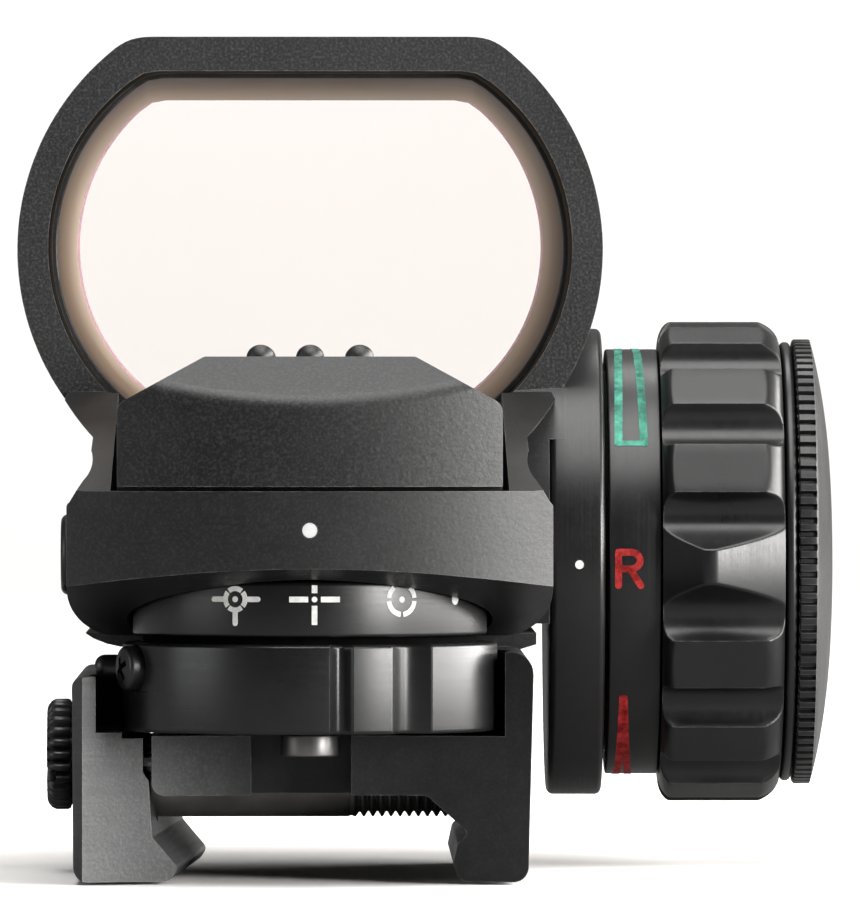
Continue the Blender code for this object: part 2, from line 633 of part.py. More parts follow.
def fluted(angle, along, radius):
    """Scallops between flat lands; the land facing the rear rises to a pointer crest."""
    if radius < 15.0:
        return radius
    step = 2 * pi / FLUTES
    turn = (angle - pi) / step
    offset = abs(turn - round(turn)) * step
    if round(turn) % FLUTES == 0:
        if along < CREST_X0:
            fall = (CREST_X0 - along) / (CREST_X0 - NUMBER_X1 - 0.1)
        else:
            fall = max(0.0, along - CREST_X1) / (KNOB_X1 - CREST_X1)
        rise = (step / 2 - offset) / CREST_HALF
        return min(CREST_R - CREST_FALL * fall,
                   FLUTE_ROOT + (CREST_R - FLUTE_ROOT) * rise * rise)
    if offset <= LAND_HALF + 1e-6:
        return min(radius, KNOB_R * cos(LAND_HALF) / cos(offset))
    across = (step / 2 - offset) / (step / 2 - LAND_HALF)
    return min(radius, KNOB_R - FLUTE_DEPTH * sqrt(max(0.0, 1 - across * across)))


def knurled(teeth, from_radius):
    """Shape that lowers every second point of the rings at or above a radius."""
    def shape(angle, along, radius):
        if radius < from_radius:
            return radius
        return radius - KNURL_DEPTH * (round(angle / (2 * pi) * teeth * 2) % 2)
    return shape


def build_contacts():
    """Fixed board and post in the flange, number ring and turning wiper."""
    make("contact_board", washer(2.5, 12.6, 18.3, 19.3, 32, "X", KNOB_AXIS), "board_green")
    post = [(14.6, 0), (14.6, 1.9), (19.8, 1.9), (19.8, 1.5), (27.2, 1.5), (27.2, 0)]
    make("knob_post", lathe(post, 24, "X", KNOB_AXIS), "steel")
    make("track_outer", washer(10.4, 11.6, 19.6, 19.75, 32, "X", KNOB_AXIS), "brass_contact")
    make("number_ring",
         washer(11.9, NUMBER_R, FLANGE_X1 + GAP, NUMBER_X1 - 0.2, 48, "X", KNOB_AXIS),
         "satin_black_alloy", (22.8, *KNOB_AXIS))
    wiper = make("wiper", washer(2.0, 4.0, 22.0, 22.5, 24, "X", KNOB_AXIS),
                 "brass_contact", (22.2, *KNOB_AXIS))
    arm = box(22.0, 22.5, KNOB_Y + 3.0, KNOB_Y + 11.5, KNOB_Z - 0.8, KNOB_Z + 0.8)
    finger = box(20.1, 22.4, KNOB_Y + 10.7, KNOB_Y + 11.3, KNOB_Z - 0.5, KNOB_Z + 0.5)
    combine(wiper, [arm, finger], "UNION")


def build_knob():
    x0 = NUMBER_X1 + 0.1
    profile = [(x0, 12.0), (x0, 15.55), (25.4, KNOB_R), (CREST_X0, KNOB_R), (CREST_X1, KNOB_R),
               (31.6, KNOB_R), (32.6, 16.2), (KNOB_X1, 15.5), (KNOB_X1, 12.0)]
    knob = make("fluted_knob", lathe(profile, FLUTES * 8, "X", KNOB_AXIS, fluted),
                "satin_black_alloy", (28.9, *KNOB_AXIS))
    combine(knob, [washer(2.9, 12.6, 26.6, 29.5, 30, "X", KNOB_AXIS)], "UNION")
    combine(knob, [rod(0.95, 26, 30, 12, "X", axis) for axis in KNOB_SCREW_AXES])
    carrier = make("knob_carrier", washer(3.0, 11.5, 24.9, 26.2, 28, "X", KNOB_AXIS),
                   "black_polymer", (25, *KNOB_AXIS))
    combine(carrier, [rod(0.95, 24, 27, 12, "X", axis) for axis in KNOB_SCREW_AXES])
    screw = [(25.0, 0), (25.0, 0.65), (29.55, 0.65), (29.55, 1.2), (29.95, 1.2), (29.95, 0)]
    for number, axis in enumerate(KNOB_SCREW_AXES, 1):
        make("knob_screw_%d" % number, lathe(screw, 14, "X", axis), "black_screw", (29.0, *axis))
    make("hub_nut", rod(2.3, 27.5, 29.2, 24, "X", KNOB_AXIS), "steel", (28, *KNOB_AXIS))


def build_battery():
    cup = [(30.1, 0), (30.1, 11.5), (33.6, 11.5), (33.6, 10.4), (30.6, 10.4), (30.6, 0)]
    make("battery_cup", lathe(cup, 28, "X", KNOB_AXIS), "black_polymer", (31, *KNOB_AXIS))
    cell = [(30.8, 0), (30.8, 8.8), (31.1, 9.0), (31.2, BATTERY_R), (33.85, BATTERY_R),
            (34.0, BATTERY_R - 0.2), (34.0, 0)]
    make("battery", lathe(cell, 28, "X", KNOB_AXIS), "steel", (32, *KNOB_AXIS))


def build_cap():
    """Domed, knurled battery cap with its seat, seal and contact."""
    make("seat_disc", washer(12.2, DISC_R, KNOB_X1 + 0.1, DISC_X1 - 0.1, 36, "X", KNOB_AXIS),
         "satin_black_alloy", (33.8, *KNOB_AXIS))
    make("cap_seal", washer(10.6, 11.4, 33.75, 34.55, 28, "X", KNOB_AXIS),
         "black_rubber", (34.2, *KNOB_AXIS))
    rim = CAP_R - 0.4
    cap = [(34.85, 0), (34.85, 11.7), (33.5, 11.7), (33.5, 11.95), (DISC_X1 + 0.05, 11.95),
           (DISC_X1 + 0.05, CAP_R - 0.5), (DISC_X1 + 0.2, CAP_R), (CAP_X1 - 0.1, CAP_R),
           (CAP_X1, rim)]
    for part in (0.93, 0.82, 0.66, 0.4, 0.0):
        cap.append((CAP_X1 + (CAP_DOME - CAP_X1) * (1 - part ** 2.8), rim * part))
    shape = knurled(CAP_TEETH, CAP_R - 0.1)
    make("battery_cap", lathe(cap, CAP_TEETH * 2, "X", KNOB_AXIS, shape),
         "satin_black_alloy", (35, *KNOB_AXIS))
    contact = [(34.15, 0), (34.15, 3.2), (34.3, 3.2), (34.6, 6.0), (34.7, 6.0), (34.7, 0)]
    make("cap_contact", lathe(contact, 24, "X", KNOB_AXIS), "brass_contact", (34.5, *KNOB_AXIS))


# ---------------------------------------------------------------- rail clamp

# Corners of the clamp sections: x, z, corner radius
BASE_RIGHT = [(2.8, 0.0, 0), (7.9, 0.0, 0.5), (10.74, -2.5, 0), (10.0, -3.2, 0.3),
              (9.7, -4.6, 0.4), (10.1, JAW_LOW, 0.8), (14.75, JAW_LOW, 0.8), (15.15, 9.75, 1.5),
              (10.75, 9.75, 0), (10.75, BASE_TOP, 0), (2.8, BASE_TOP, 0)]
BASE_LEFT = [(-10.7, 0.0, 0.9), (-10.7, BASE_TOP, 0), (-4.0, BASE_TOP, 0), (-4.0, 0.0, 0)]
JAW = [(JAW_IN, 8.3, 0.3), (JAW_OUT, 8.0, 0.7), (JAW_OUT + 0.1, JAW_LOW, 0.8),
       (-9.6, JAW_LOW, 0.6), (-9.0, -4.9, 0.4), (-10.9, -2.6, 0), (-10.9, 1.0, 0),
       (JAW_IN, 1.6, 0)]
# Skirt around the pad top: x, z
SKIRT = [(-15.3, PAD_TOP), (-15.0, 10.2), (-14.0, 9.9), (-13.1, 9.75), (-10.3, 9.7),
         (12.0, 9.4), (13.8, 9.4), (15.6, 9.9), (15.6, PAD_TOP)]
SCOOP_R, SCOOP_DEPTH = 34.0, 2.2        # hollow in the rear end of the base
WHEEL_TEETH, THREAD_PITCH = 20, 1.6


def build_base():
    base = make("mount_base", prism(fillet(BASE_RIGHT), BASE_Y0, BASE_Y1, "Y"),
                "satin_black_alloy")
    combine(base, [
        box(-4.1, 2.9, BASE_Y0 + 7.9, BASE_Y1, 0.0, BASE_TOP),
        prism(fillet(BASE_LEFT), BASE_Y0, BASE_Y1, "Y"),
        box(-10.4, 10.85, -1.6, BASE_Y1, 3.9, PAD_TOP),
        prism(SKIRT, -1.55, BASE_Y1 - 0.05, "Y")], "UNION")
    ring_floor = BASE_TOP - 0.05
    cuts = [
        rod(SCOOP_R, -8, 12, 72, "Z", (0.0, BASE_Y0 - SCOOP_R + SCOOP_DEPTH)),
        rod(13.6, ring_floor, 9.85, 48, "Z", DIAL_AXIS),
        box(-13.0, 13.05, -22, DIAL_Y, ring_floor, 12),
        rod(RING_R + 0.35, ring_floor, 12, 40, "Z", DIAL_AXIS),
        rod(2.8, -13, 10.4, 28, "X", CROSS_ROD_AXIS),
        rod(1.75, -13, 8.5, 20, "X", CLAMP_AXIS)]
    cuts += [rod(1.2, -12, -6.5, 14, "X", axis) for axis in GUIDE_AXES]
    for y in SCREW_YS:
        cuts += [rod(2.5, -1, 3.0, 20, "Z", (0, y)), rod(1.35, 2, 12, 16, "Z", (0, y))]
    combine(base, cuts)
    screw = [(0.7, 0), (0.7, 2.0), (0.9, 2.2), (2.7, 2.2), (2.7, 1.0), (13.6, 1.0), (13.6, 0)]
    for number, y in enumerate(SCREW_YS, 1):
        make("base_screw_%d" % number, lathe(screw, 20, "Z", (0, y)), "black_screw", (0, y, 2.0))


def build_jaw():
    jaw = make("movable_jaw", prism(fillet(JAW), BASE_Y0, BASE_Y1, "Y"),
               "satin_black_alloy", (JAW_IN, 0, 0))
    combine(jaw, [
        rod(RING_R + 0.4, 3.9, 12, 40, "Z", DIAL_AXIS),
        rod(14.95, 4.3, 12, 48, "Z", DIAL_AXIS),
        rod(1.75, -18, -8, 20, "X", CLAMP_AXIS),
        rod(0.85, -15.0, -8, 14, "X", GUIDE_AXES[0]),
        rod(0.85, -15.0, -8, 14, "X", GUIDE_AXES[1]),
        rod(2.8, -18, -8, 28, "X", CROSS_ROD_AXIS)])


def build_clamp_parts():
    """Clamp wheel and washer, cross rod and guide pins, all along X."""
    wheel = [(-18.2, 0), (-18.2, 3.3), (-17.8, 3.85), (-16.7, 3.85), (-16.45, 3.4),
             (-16.45, 1.45), (6.8, 1.45), (7.0, 1.2), (7.0, 0)]
    make("clamp_wheel", lathe(wheel, WHEEL_TEETH * 2, "X", CLAMP_AXIS, knurled(WHEEL_TEETH, 3.8)),
         "black_screw", (-17.0, *CLAMP_AXIS))
    cross_rod = [(-15.8, 0), (-15.8, 2.1), (-15.4, 2.45), (3.0, 2.45)]
    for k in range(4):
        root_x = 3.2 + THREAD_PITCH * k
        cross_rod += [(root_x, 2.05), (root_x + THREAD_PITCH / 2, 2.45)]
    cross_rod += [(10.0, 2.0), (10.0, 0)]
    make("cross_rod", lathe(cross_rod, 24, "X", CROSS_ROD_AXIS), "steel")
    for number, axis in enumerate(GUIDE_AXES, 1):
        make("guide_pin_%d" % number, rod(0.7, -14.8, -7.0, 14, "X", axis), "steel")
    make("clamp_washer", washer(1.8, 3.0, -16.42, -16.15, 24, "X", CLAMP_AXIS), "steel")


# ---------------------------------------------------------------- assembly

for old in list(bpy.data.objects):
    bpy.data.objects.remove(old, do_unlink=True)

for build in (build_housing, build_index_dots, build_lens_group,
              build_carriage, build_block, build_emitter, build_adjusters,
              build_dial, build_drum, build_selector_ring, build_stops,
              build_contacts, build_knob, build_battery, build_cap,
              build_base, build_jaw, build_clamp_parts):
    build()

# millimetres to metres
for obj in bpy.data.objects:
    obj.data.transform(Matrix.Scale(MM, 4))
    obj.location = obj.location * MM
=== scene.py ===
# An open reflex sight with a battery knob, standing on a rail clamp. +X is right, +Y is
# front and +Z is up. The hood and lens stand over the front half, the emitter block and
# selector dial lie at the rear, the brightness knob is on the right and the clamp is
# underneath.
import json
from math import asin, atan2, cos, degrees, pi, radians, sin, sqrt, tan

import bmesh
import bpy
from mathutils import Matrix, Vector


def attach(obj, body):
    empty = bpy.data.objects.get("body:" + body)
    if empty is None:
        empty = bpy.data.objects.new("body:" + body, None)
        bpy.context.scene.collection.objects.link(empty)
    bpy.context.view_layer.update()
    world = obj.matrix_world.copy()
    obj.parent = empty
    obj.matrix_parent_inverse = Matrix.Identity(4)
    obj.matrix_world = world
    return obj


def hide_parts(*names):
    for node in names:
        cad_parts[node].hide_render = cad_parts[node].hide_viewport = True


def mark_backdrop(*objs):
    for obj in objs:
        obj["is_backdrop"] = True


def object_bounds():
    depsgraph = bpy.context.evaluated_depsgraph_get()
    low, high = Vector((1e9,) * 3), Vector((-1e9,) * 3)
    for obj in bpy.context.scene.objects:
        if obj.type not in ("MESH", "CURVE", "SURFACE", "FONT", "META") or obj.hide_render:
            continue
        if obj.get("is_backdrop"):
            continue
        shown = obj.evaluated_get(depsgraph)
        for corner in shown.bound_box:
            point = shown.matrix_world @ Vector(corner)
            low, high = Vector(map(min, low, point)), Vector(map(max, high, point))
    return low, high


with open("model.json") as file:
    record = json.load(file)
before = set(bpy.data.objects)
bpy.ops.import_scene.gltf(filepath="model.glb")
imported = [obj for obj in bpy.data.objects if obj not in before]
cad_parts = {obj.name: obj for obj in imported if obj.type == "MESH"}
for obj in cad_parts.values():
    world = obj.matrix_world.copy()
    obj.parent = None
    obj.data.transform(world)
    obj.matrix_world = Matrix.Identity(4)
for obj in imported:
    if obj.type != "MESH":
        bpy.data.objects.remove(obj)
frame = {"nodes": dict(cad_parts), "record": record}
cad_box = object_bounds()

MM = 0.001
behaviour = frame["record"].get("behaviour") or {}
BODY_OF = {node: body for body, members in behaviour.get("bodies", {}).items()
           for node in members}

# ------------------------------------------------------------------ main dimensions
# "ARC" values are the centre (x, z) and radius of an opening's right side; the left mirrors it
HOOD_REAR, HOOD_FRONT, HOOD_TOP = 10.0, 52.0, 52.1
HOOD_ARC_X, HOOD_ARC_Z, HOOD_ARC_R = 2.55, 37.2, 17.9
FACE_TOP, FACE_ARC_X, FACE_ARC_Z, FACE_ARC_R = 49.7, 3.8, 37.4, 14.5
LENS_TOP, LENS_ARC_X, LENS_ARC_Z, LENS_ARC_R = 48.1, 3.4, 37.6, 13.2
LENS_Y, LENS_THICK = 30.0, 3.0
BODY_HALF, BODY_TOP, BODY_BOTTOM, FLOOR_Z = 16.3, 20.6, 10.7, 16.2
BODY_CORNER = 3.1                       # radius of the lower long edges
REAR_Y, REAR_R = -30.0, 38.7            # rear wall, bowed in plan
WALL_TOP = 20.7
CHANNEL_HALF = 13.35
BLOCK_HALF, BLOCK_TOP, BLOCK_TOP_HALF, BLOCK_FRONT = 12.9, 29.7, 7.05, 2.0
BLOCK_Z0 = FLOOR_Z + 2.6
DIAL_Y, DIAL_R, DIAL_Z0, DIAL_Z1 = -15.6, 12.0, 10.9, 14.6
RING_R, RING_Z0, RING_Z1 = 12.7, 4.4, 10.4
KNOB_Y, KNOB_Z = 21.0, 15.3
FLANGE_R, FLANGE_X0, FLANGE_X1 = 16.45, 16.65, 20.5
NUMBER_R, NUMBER_X1 = 15.0, 24.5
KNOB_R, KNOB_X0, KNOB_X1, FLUTES = 16.95, 24.55, 33.05, 15
SEAT_R, SEAT_X1 = 15.5, 34.0
CAP_R, CAP_X1, CAP_DOME = 15.7, 35.3, 36.8
BASE_Y0, BASE_Y1, BASE_TOP, PAD_TOP = -20.0, 20.0, 4.1, 10.4
JAW_LOW, JAW_OUT, JAW_IN = -5.8, -16.1, -11.3
SCREW_YS = (9.8, 15.5)
THREAD_PITCH, THREAD_X0, THREAD_X1, ROD_R = 0.62, 2.6, 10.0, 2.45

# turning axes: direction, then the centre in the other two coordinates
DIAL_AXIS = ("Z", 0, DIAL_Y)
KNOB_AXIS = ("X", KNOB_Y, KNOB_Z)
CLAMP_AXIS = ("X", 4.0, 2.2)
ROD_AXIS = ("X", -9.0, 0.75)
GUIDE_AXES = (("X", -14.5, 2.2), ("X", 16.0, 2.2))
WINDAGE_AXIS = ("X", -1.5, 16.1)
ELEVATION_AXIS = ("Z", 5.5, -4.0)
STOP_AXIS = ("X", 0, 8.7)               # stop screw and pin, before they swing about the dial
REAR_DOT_AXIS = ("Y", 0.0, 18.1)
FLANGE_DOT_AXIS = ("Y", 18.7, KNOB_Z)


# ------------------------------------------------------------------ shader helpers
class Shader:
    """Node tree of a new material or world, with short ways to add nodes."""

    def __init__(self, owner, output="ShaderNodeOutputMaterial"):
        self.owner = owner
        owner.use_nodes = True
        self.tree = owner.node_tree
        self.tree.nodes.clear()
        self.output = self.add(output)
        self.places = self.add("ShaderNodeTexCoord").outputs
        self.coord = self.places["Object"]

    def add(self, kind, inputs=None, **settings):
        """Add a node; each input gets a number, a colour or a link. None leaves it alone."""
        node = self.tree.nodes.new(kind)
        for key, value in settings.items():
            setattr(node, key, value)
        for key, value in (inputs or {}).items():
            if isinstance(value, tuple):
                node.inputs[key].default_value = (*value, 1)
            elif isinstance(value, (int, float)):
                node.inputs[key].default_value = value
            elif value is not None:
                self.tree.links.new(value, node.inputs[key])
        return node

    def surface(self, shader):
        self.tree.links.new(shader.outputs[0], self.output.inputs["Surface"])
        return self.owner

    def noise(self, scale, detail=3.0, rough=0.6, stretch=None):
        vector = self.coord
        if stretch:
            mapping = self.add("ShaderNodeMapping", {"Vector": self.coord})
            mapping.inputs["Scale"].default_value = stretch
            vector = mapping.outputs["Vector"]
        return self.add("ShaderNodeTexNoise", {
            "Scale": scale, "Detail": detail, "Roughness": rough, "Distortion": 0.0,
            "Vector": vector}).outputs["Fac"]

    def remap(self, value, low, high, source=(0.3, 0.7)):
        """Stretch the source range, by default the middle of a noise, to low..high."""
        return self.add("ShaderNodeMapRange", {
            "From Min": source[0], "From Max": source[1], "To Min": low, "To Max": high,
            "Value": value}).outputs["Result"]

    def math(self, operation, first, second):
        return self.add("ShaderNodeMath", {0: first, 1: second}, operation=operation).outputs[0]

    def mix(self, factor, first, second):
        return self.add("ShaderNodeMix", {"Factor": factor, 6: first, 7: second},
                        data_type="RGBA").outputs[2]

    def mottle(self, noise, low, high, source=(0.3, 0.7)):
        """Drift between two colours with a noise."""
        return self.mix(self.remap(noise, 0.0, 1.0, source), low, high)

    def part(self, axis, vector):
        return self.add("ShaderNodeSeparateXYZ", {0: vector}).outputs[axis]

    def ramp(self, factor, stops):
        """Colour ramp; stops are (position, colour), the two ends first."""
        node = self.add("ShaderNodeValToRGB", {0: factor})
        elements = node.color_ramp.elements
        for i, (position, color) in enumerate(stops):
            element = elements[i] if i < 2 else elements.new(position)
            element.position = position
            element.color = (*color, 1)
        return node.outputs[0]

    def bump(self, height, strength, depth, normal=None):
        return self.add("ShaderNodeBump", {
            "Strength": strength, "Distance": depth * MM, "Height": height,
            "Normal": normal}).outputs["Normal"]

    def edge_mask(self, radius):
        """1 on worn convex edges, 0 on faces."""
        bevel = self.add("ShaderNodeBevel", {"Radius": radius * MM}, samples=4)
        geometry = self.add("ShaderNodeNewGeometry")
        facing = self.add("ShaderNodeVectorMath", {
            0: bevel.outputs["Normal"], 1: geometry.outputs["Normal"]}, operation="DOT_PRODUCT")
        turn = self.math("SUBTRACT", 1.0, facing.outputs["Value"])
        return self.remap(turn, 0.0, 1.0, source=(0.02, 0.25))

    def principled(self, color, rough, metallic=0.0, normal=None, more=None):
        return self.add("ShaderNodeBsdfPrincipled", {
            "Base Color": color, "Roughness": rough, "Metallic": metallic, "Normal": normal,
            **(more or {})})

    def half_clear(self, factor, tint, shader):
        """Lay a shader over tinted see-through glass."""
        clear = self.add("ShaderNodeBsdfTransparent", {"Color": tint})
        return self.surface(self.add("ShaderNodeMixShader", {
            0: factor, 1: clear.outputs[0], 2: shader.outputs[0]}))


def new_shader(name):
    return Shader(bpy.data.materials.new(name))


def scaled(color, gain, offset=0.0):
    return tuple(min(1.0, c * gain + offset) for c in color)


# ------------------------------------------------------------------ materials
def anodised(name, tone, rough, grain, depth, wear_and_highlight, spread=0.25, blast=0.0, specular=0.5,
             streak=None, side=None):
    """Black anodised alloy: fine grain, cloudy sheen, paler worn edges.

    grain and depth set the fine pits, blast adds sparkle and coarser pits, streak is the
    stretch of machining lines, side is (x from, x to, gain) of a paler flank in metres.
    """
    tree = new_shader(name)
    fine = tree.noise(scale=grain, detail=4.0, rough=0.65)
    cloud = tree.noise(scale=95.0, rough=0.5)
    spots = tree.noise(scale=900.0, detail=2.0, rough=0.5)
    value = tree.remap(cloud, tone * (1 - spread), tone * (1 + spread))
    value = tree.math("ADD", value, tree.remap(spots, low=-tone * 0.12, high=tone * 0.22,
                                               source=(0.35, 0.75)))
    if blast > 0:
        sparkle = tree.noise(scale=5200.0, detail=2.0, rough=0.5)
        value = tree.math("ADD", value, tree.remap(
            sparkle, low=-tone * 0.4 * blast, high=tone * 2.6 * blast, source=(0.45, 0.8)))
    # painted highlight: the flank towards x_from is made paler, as if lit from that side
    if side:
        x_from, x_to, gain = side
        value = tree.math("MULTIPLY", value, tree.remap(
            tree.part("X", tree.coord), low=gain, high=1.0, source=(x_from, x_to)))
    # a very slightly blue black
    color = tree.add("ShaderNodeCombineColor", {
        0: tree.math("MULTIPLY", value, 1.0), 1: value,
        2: tree.math("MULTIPLY", value, 1.03)}).outputs[0]
    roughness = tree.math("ADD", tree.remap(cloud, low=rough - 0.035, high=rough + 0.045),
                          tree.remap(fine, low=-0.02, high=0.03))
    normal = tree.bump(fine, strength=0.55, depth=depth)
    if blast > 0:
        pits = tree.noise(scale=2300.0, rough=0.7)
        normal = tree.bump(pits, strength=0.8, depth=0.02 * blast, normal=normal)
    if streak:
        lines = tree.noise(scale=1.0, detail=2.0, rough=0.5, stretch=streak)
        normal = tree.bump(lines, strength=0.35, depth=0.004, normal=normal)
        roughness = tree.math("ADD", roughness, tree.remap(lines, low=-0.03, high=0.04))
    # paler edges: partly wear, partly a painted highlight where rounded edges would catch light
    broken = tree.remap(tree.noise(scale=700.0, detail=4.0, rough=0.7), low=0.15, high=1.0,
                        source=(0.42, 0.62))
    edge = tree.math("MULTIPLY", tree.edge_mask(radius=0.13), broken)
    wear_and_highlight_color = (0.30, 0.30, 0.31)
    color = tree.mix(tree.math("MULTIPLY", edge, wear_and_highlight), color, wear_and_highlight_color)
    return tree.surface(tree.principled(color, roughness, normal=normal,
                                        more={"Specular IOR Level": specular}))


def bare_metal(name, color, rough, streak=(60.0, 4000.0, 4000.0), metallic=1.0):
    """Brushed metal; streak stretches the brush lines."""
    tree = new_shader(name)
    lines = tree.noise(scale=1.0, stretch=streak)
    cloud = tree.noise(scale=300.0)
    base = tree.mottle(cloud, scaled(color, 0.72), color)
    roughness = tree.math("ADD", tree.remap(cloud, low=rough - 0.06, high=rough + 0.08),
                          tree.remap(lines, low=-0.05, high=0.06))
    return tree.surface(tree.principled(base, roughness, metallic,
                                        tree.bump(lines, strength=0.4, depth=0.006)))


def moulded(name, color, rough=0.5, grain=1500.0, depth=0.01):
    tree = new_shader(name)
    fine = tree.noise(scale=grain, detail=4.0)
    cloud = tree.noise(scale=150.0, detail=2.0, rough=0.5)
    base = tree.mottle(cloud, scaled(color, 0.75), scaled(color, 1.2))
    roughness = tree.remap(fine, low=rough - 0.08, high=rough + 0.08)
    return tree.surface(tree.principled(base, roughness,
                                        normal=tree.bump(fine, strength=0.5, depth=depth)))


def shadow(name):
    """Soot-dark finish for the deep groove under the dial."""
    tree = new_shader(name)
    base = tree.mottle(tree.noise(scale=900.0), (0.0008,) * 3, (0.0022,) * 3)
    return tree.surface(tree.principled(base, rough=0.9, more={"Specular IOR Level": 0.02}))


def paint_mark(name, color, rough, ragged, glow):
    """Engraving paint; ragged is its unevenness, glow a faint emission."""
    tree = new_shader(name)
    cloud = tree.noise(scale=1100.0, detail=4.0, rough=0.7)
    fine = tree.noise(scale=4200.0)
    base = tree.mottle(cloud, scaled(color, 1 - ragged * 1.6),
                       scaled(color, 1 + ragged * 0.7, offset=0.015), source=(0.35, 0.65))
    return tree.surface(tree.principled(
        base, tree.remap(fine, low=rough - 0.1, high=rough + 0.15),
        normal=tree.bump(fine, strength=0.6, depth=0.02),
        more={"Specular IOR Level": 0.15, "Emission Color": base, "Emission Strength": glow}))


def lens_glass(name):
    """Clear coated glass with a soft mirror coat that turns rosy at the rim."""
    tree = new_shader(name)
    smear = tree.remap(tree.noise(scale=60.0), low=0.0, high=0.03)
    gloss = tree.add("ShaderNodeBsdfGlossy", {"Roughness": smear, "Color": (1.0, 0.74, 0.62)})
    weight = tree.add("ShaderNodeLayerWeight", {"Blend": 0.18})
    mirror = tree.remap(weight.outputs["Fresnel"], low=0.008, high=0.5, source=(0.0, 1.0))
    return tree.half_clear(mirror, tint=(0.955, 0.940, 0.935), shader=gloss)


def lens_rim(name):
    """Ground edge of the lens: pink to violet, half clear."""
    tree = new_shader(name)
    base = tree.mottle(tree.noise(scale=400.0), (0.62, 0.38, 0.50), (0.80, 0.56, 0.64))
    return tree.half_clear(0.45, tint=(1.0, 0.86, 0.90),
                           shader=tree.principled(base, rough=0.25))


def bronze(name):
    """Satin bronze, paler to the front by the lens and darker to the rear."""
    tree = new_shader(name)
    depth = tree.remap(tree.part("Y", tree.coord), low=0.0, high=1.0, source=(0.0125, 0.0295))
    cloud = tree.noise(scale=180.0, detail=4.0)
    fine = tree.noise(scale=3500.0)
    factor = tree.math("ADD", depth, tree.remap(cloud, low=-0.07, high=0.07))
    color = tree.ramp(factor, [(0.0, (0.045, 0.030, 0.020)), (1.0, (0.46, 0.37, 0.285)),
                               (0.45, (0.20, 0.138, 0.092))])
    # the emission is a painted glow that lifts the bezel as if lit
    return tree.surface(tree.principled(
        color, tree.remap(cloud, low=0.38, high=0.52), metallic=0.15,
        normal=tree.bump(fine, strength=0.4, depth=0.006),
        more={"Emission Color": color, "Emission Strength": 0.34}))


TURNED_LINES = (9000.0, 60.0, 60.0)
CLAMP_LINES = (90.0, 90.0, 5000.0)
LOOKS = {
    "housing": anodised("housing_anodised", tone=0.0056, rough=0.42, grain=4200.0, depth=0.012,
                        wear_and_highlight=0.35, spread=0.22, blast=0.75),
    "blasted": anodised("ring_blasted", tone=0.0072, rough=0.52, grain=6500.0, depth=0.016,
                        wear_and_highlight=0.5, spread=0.12, blast=1.7),
    "block": anodised("block_blasted", tone=0.0055, rough=0.43, grain=6500.0, depth=0.014,
                      wear_and_highlight=0.45, spread=0.15, blast=1.2),
    "selector": anodised("selector_anodised", tone=0.0045, rough=0.31, grain=3000.0,
                         depth=0.005, wear_and_highlight=0.35, streak=(40.0, 40.0, 9000.0)),
    "knob": anodised("knob_anodised", tone=0.0045, rough=0.33, grain=3000.0, depth=0.006,
                     wear_and_highlight=0.35, streak=TURNED_LINES),
    "flange": anodised("flange_anodised", tone=0.0040, rough=0.32, grain=3000.0, depth=0.006,
                       wear_and_highlight=0.3, streak=TURNED_LINES),
    # clamp: its left flank is painted up to 4.6 times paler, a painted highlight for light from the
    # left
    "clamp": anodised("clamp_anodised", tone=0.010, rough=0.40, grain=5200.0, depth=0.012,
                      wear_and_highlight=0.5, blast=0.25, streak=CLAMP_LINES, side=(-0.0105, -0.0040, 4.6)),
    # jaw: a paler tone than the rest, partly its blasted finish and partly painted light for its
    # rear face lit from the left
    "jaw": anodised("jaw_anodised", tone=0.026, rough=0.42, grain=5200.0, depth=0.016,
                    wear_and_highlight=0.5, blast=0.5, specular=0.6, streak=CLAMP_LINES),
    "screw": bare_metal("black_oxide", (0.058, 0.058, 0.060), rough=0.34,
                        streak=(3000.0, 3000.0, 3000.0), metallic=0.85),
    "steel": bare_metal("bright_steel", (0.62, 0.62, 0.63), rough=0.24),
    "dark_steel": bare_metal("dark_steel", (0.27, 0.262, 0.255), rough=0.38,
                             streak=(4000.0, 300.0, 300.0), metallic=0.9),
    "silver_dot": bare_metal("silver_dot", (0.72, 0.72, 0.72), rough=0.35,
                             streak=(3500.0, 3500.0, 3500.0), metallic=0.3),
    "brass": bare_metal("brass", (0.72, 0.50, 0.22), rough=0.26),
    "bronze": bronze("bronze_bezel"),
    "lens": lens_glass("coated_lens"),
    "rim": lens_rim("lens_rim"),
    "groove": shadow("shadow_groove"),
    "rubber": moulded("black_rubber", (0.012, 0.012, 0.013), rough=0.75, grain=1800.0,
                      depth=0.02),
    "polymer": moulded("black_polymer", (0.018, 0.018, 0.019), rough=0.45),
    "board": moulded("solder_resist", (0.02, 0.16, 0.07), rough=0.35, grain=900.0),
    "led": moulded("red_emitter", (0.62, 0.02, 0.015), rough=0.12, grain=400.0, depth=0.002),
    "white": paint_mark("white_mark", (0.60, 0.60, 0.58), rough=0.6, ragged=0.14, glow=0.12),
    "red": paint_mark("red_mark", (0.27, 0.0085, 0.008), rough=0.6, ragged=0.34, glow=0.22),
    "green": paint_mark("green_mark", (0.045, 0.225, 0.16), rough=0.55, ragged=0.36, glow=0.22),
}


# ------------------------------------------------------------------ objects and booleans
def to_object(name, solid, scale=1.0):
    """Clean a bmesh and put it in the scene as an object."""
    bmesh.ops.remove_doubles(solid, verts=solid.verts, dist=1e-5)
    bmesh.ops.recalc_face_normals(solid, faces=solid.faces)
    for vert in solid.verts:
        vert.co = vert.co * scale
    mesh = bpy.data.meshes.new(name)
    solid.to_mesh(mesh)
    solid.free()
    obj = bpy.data.objects.new(name, mesh)
    bpy.context.scene.collection.objects.link(obj)
    return obj


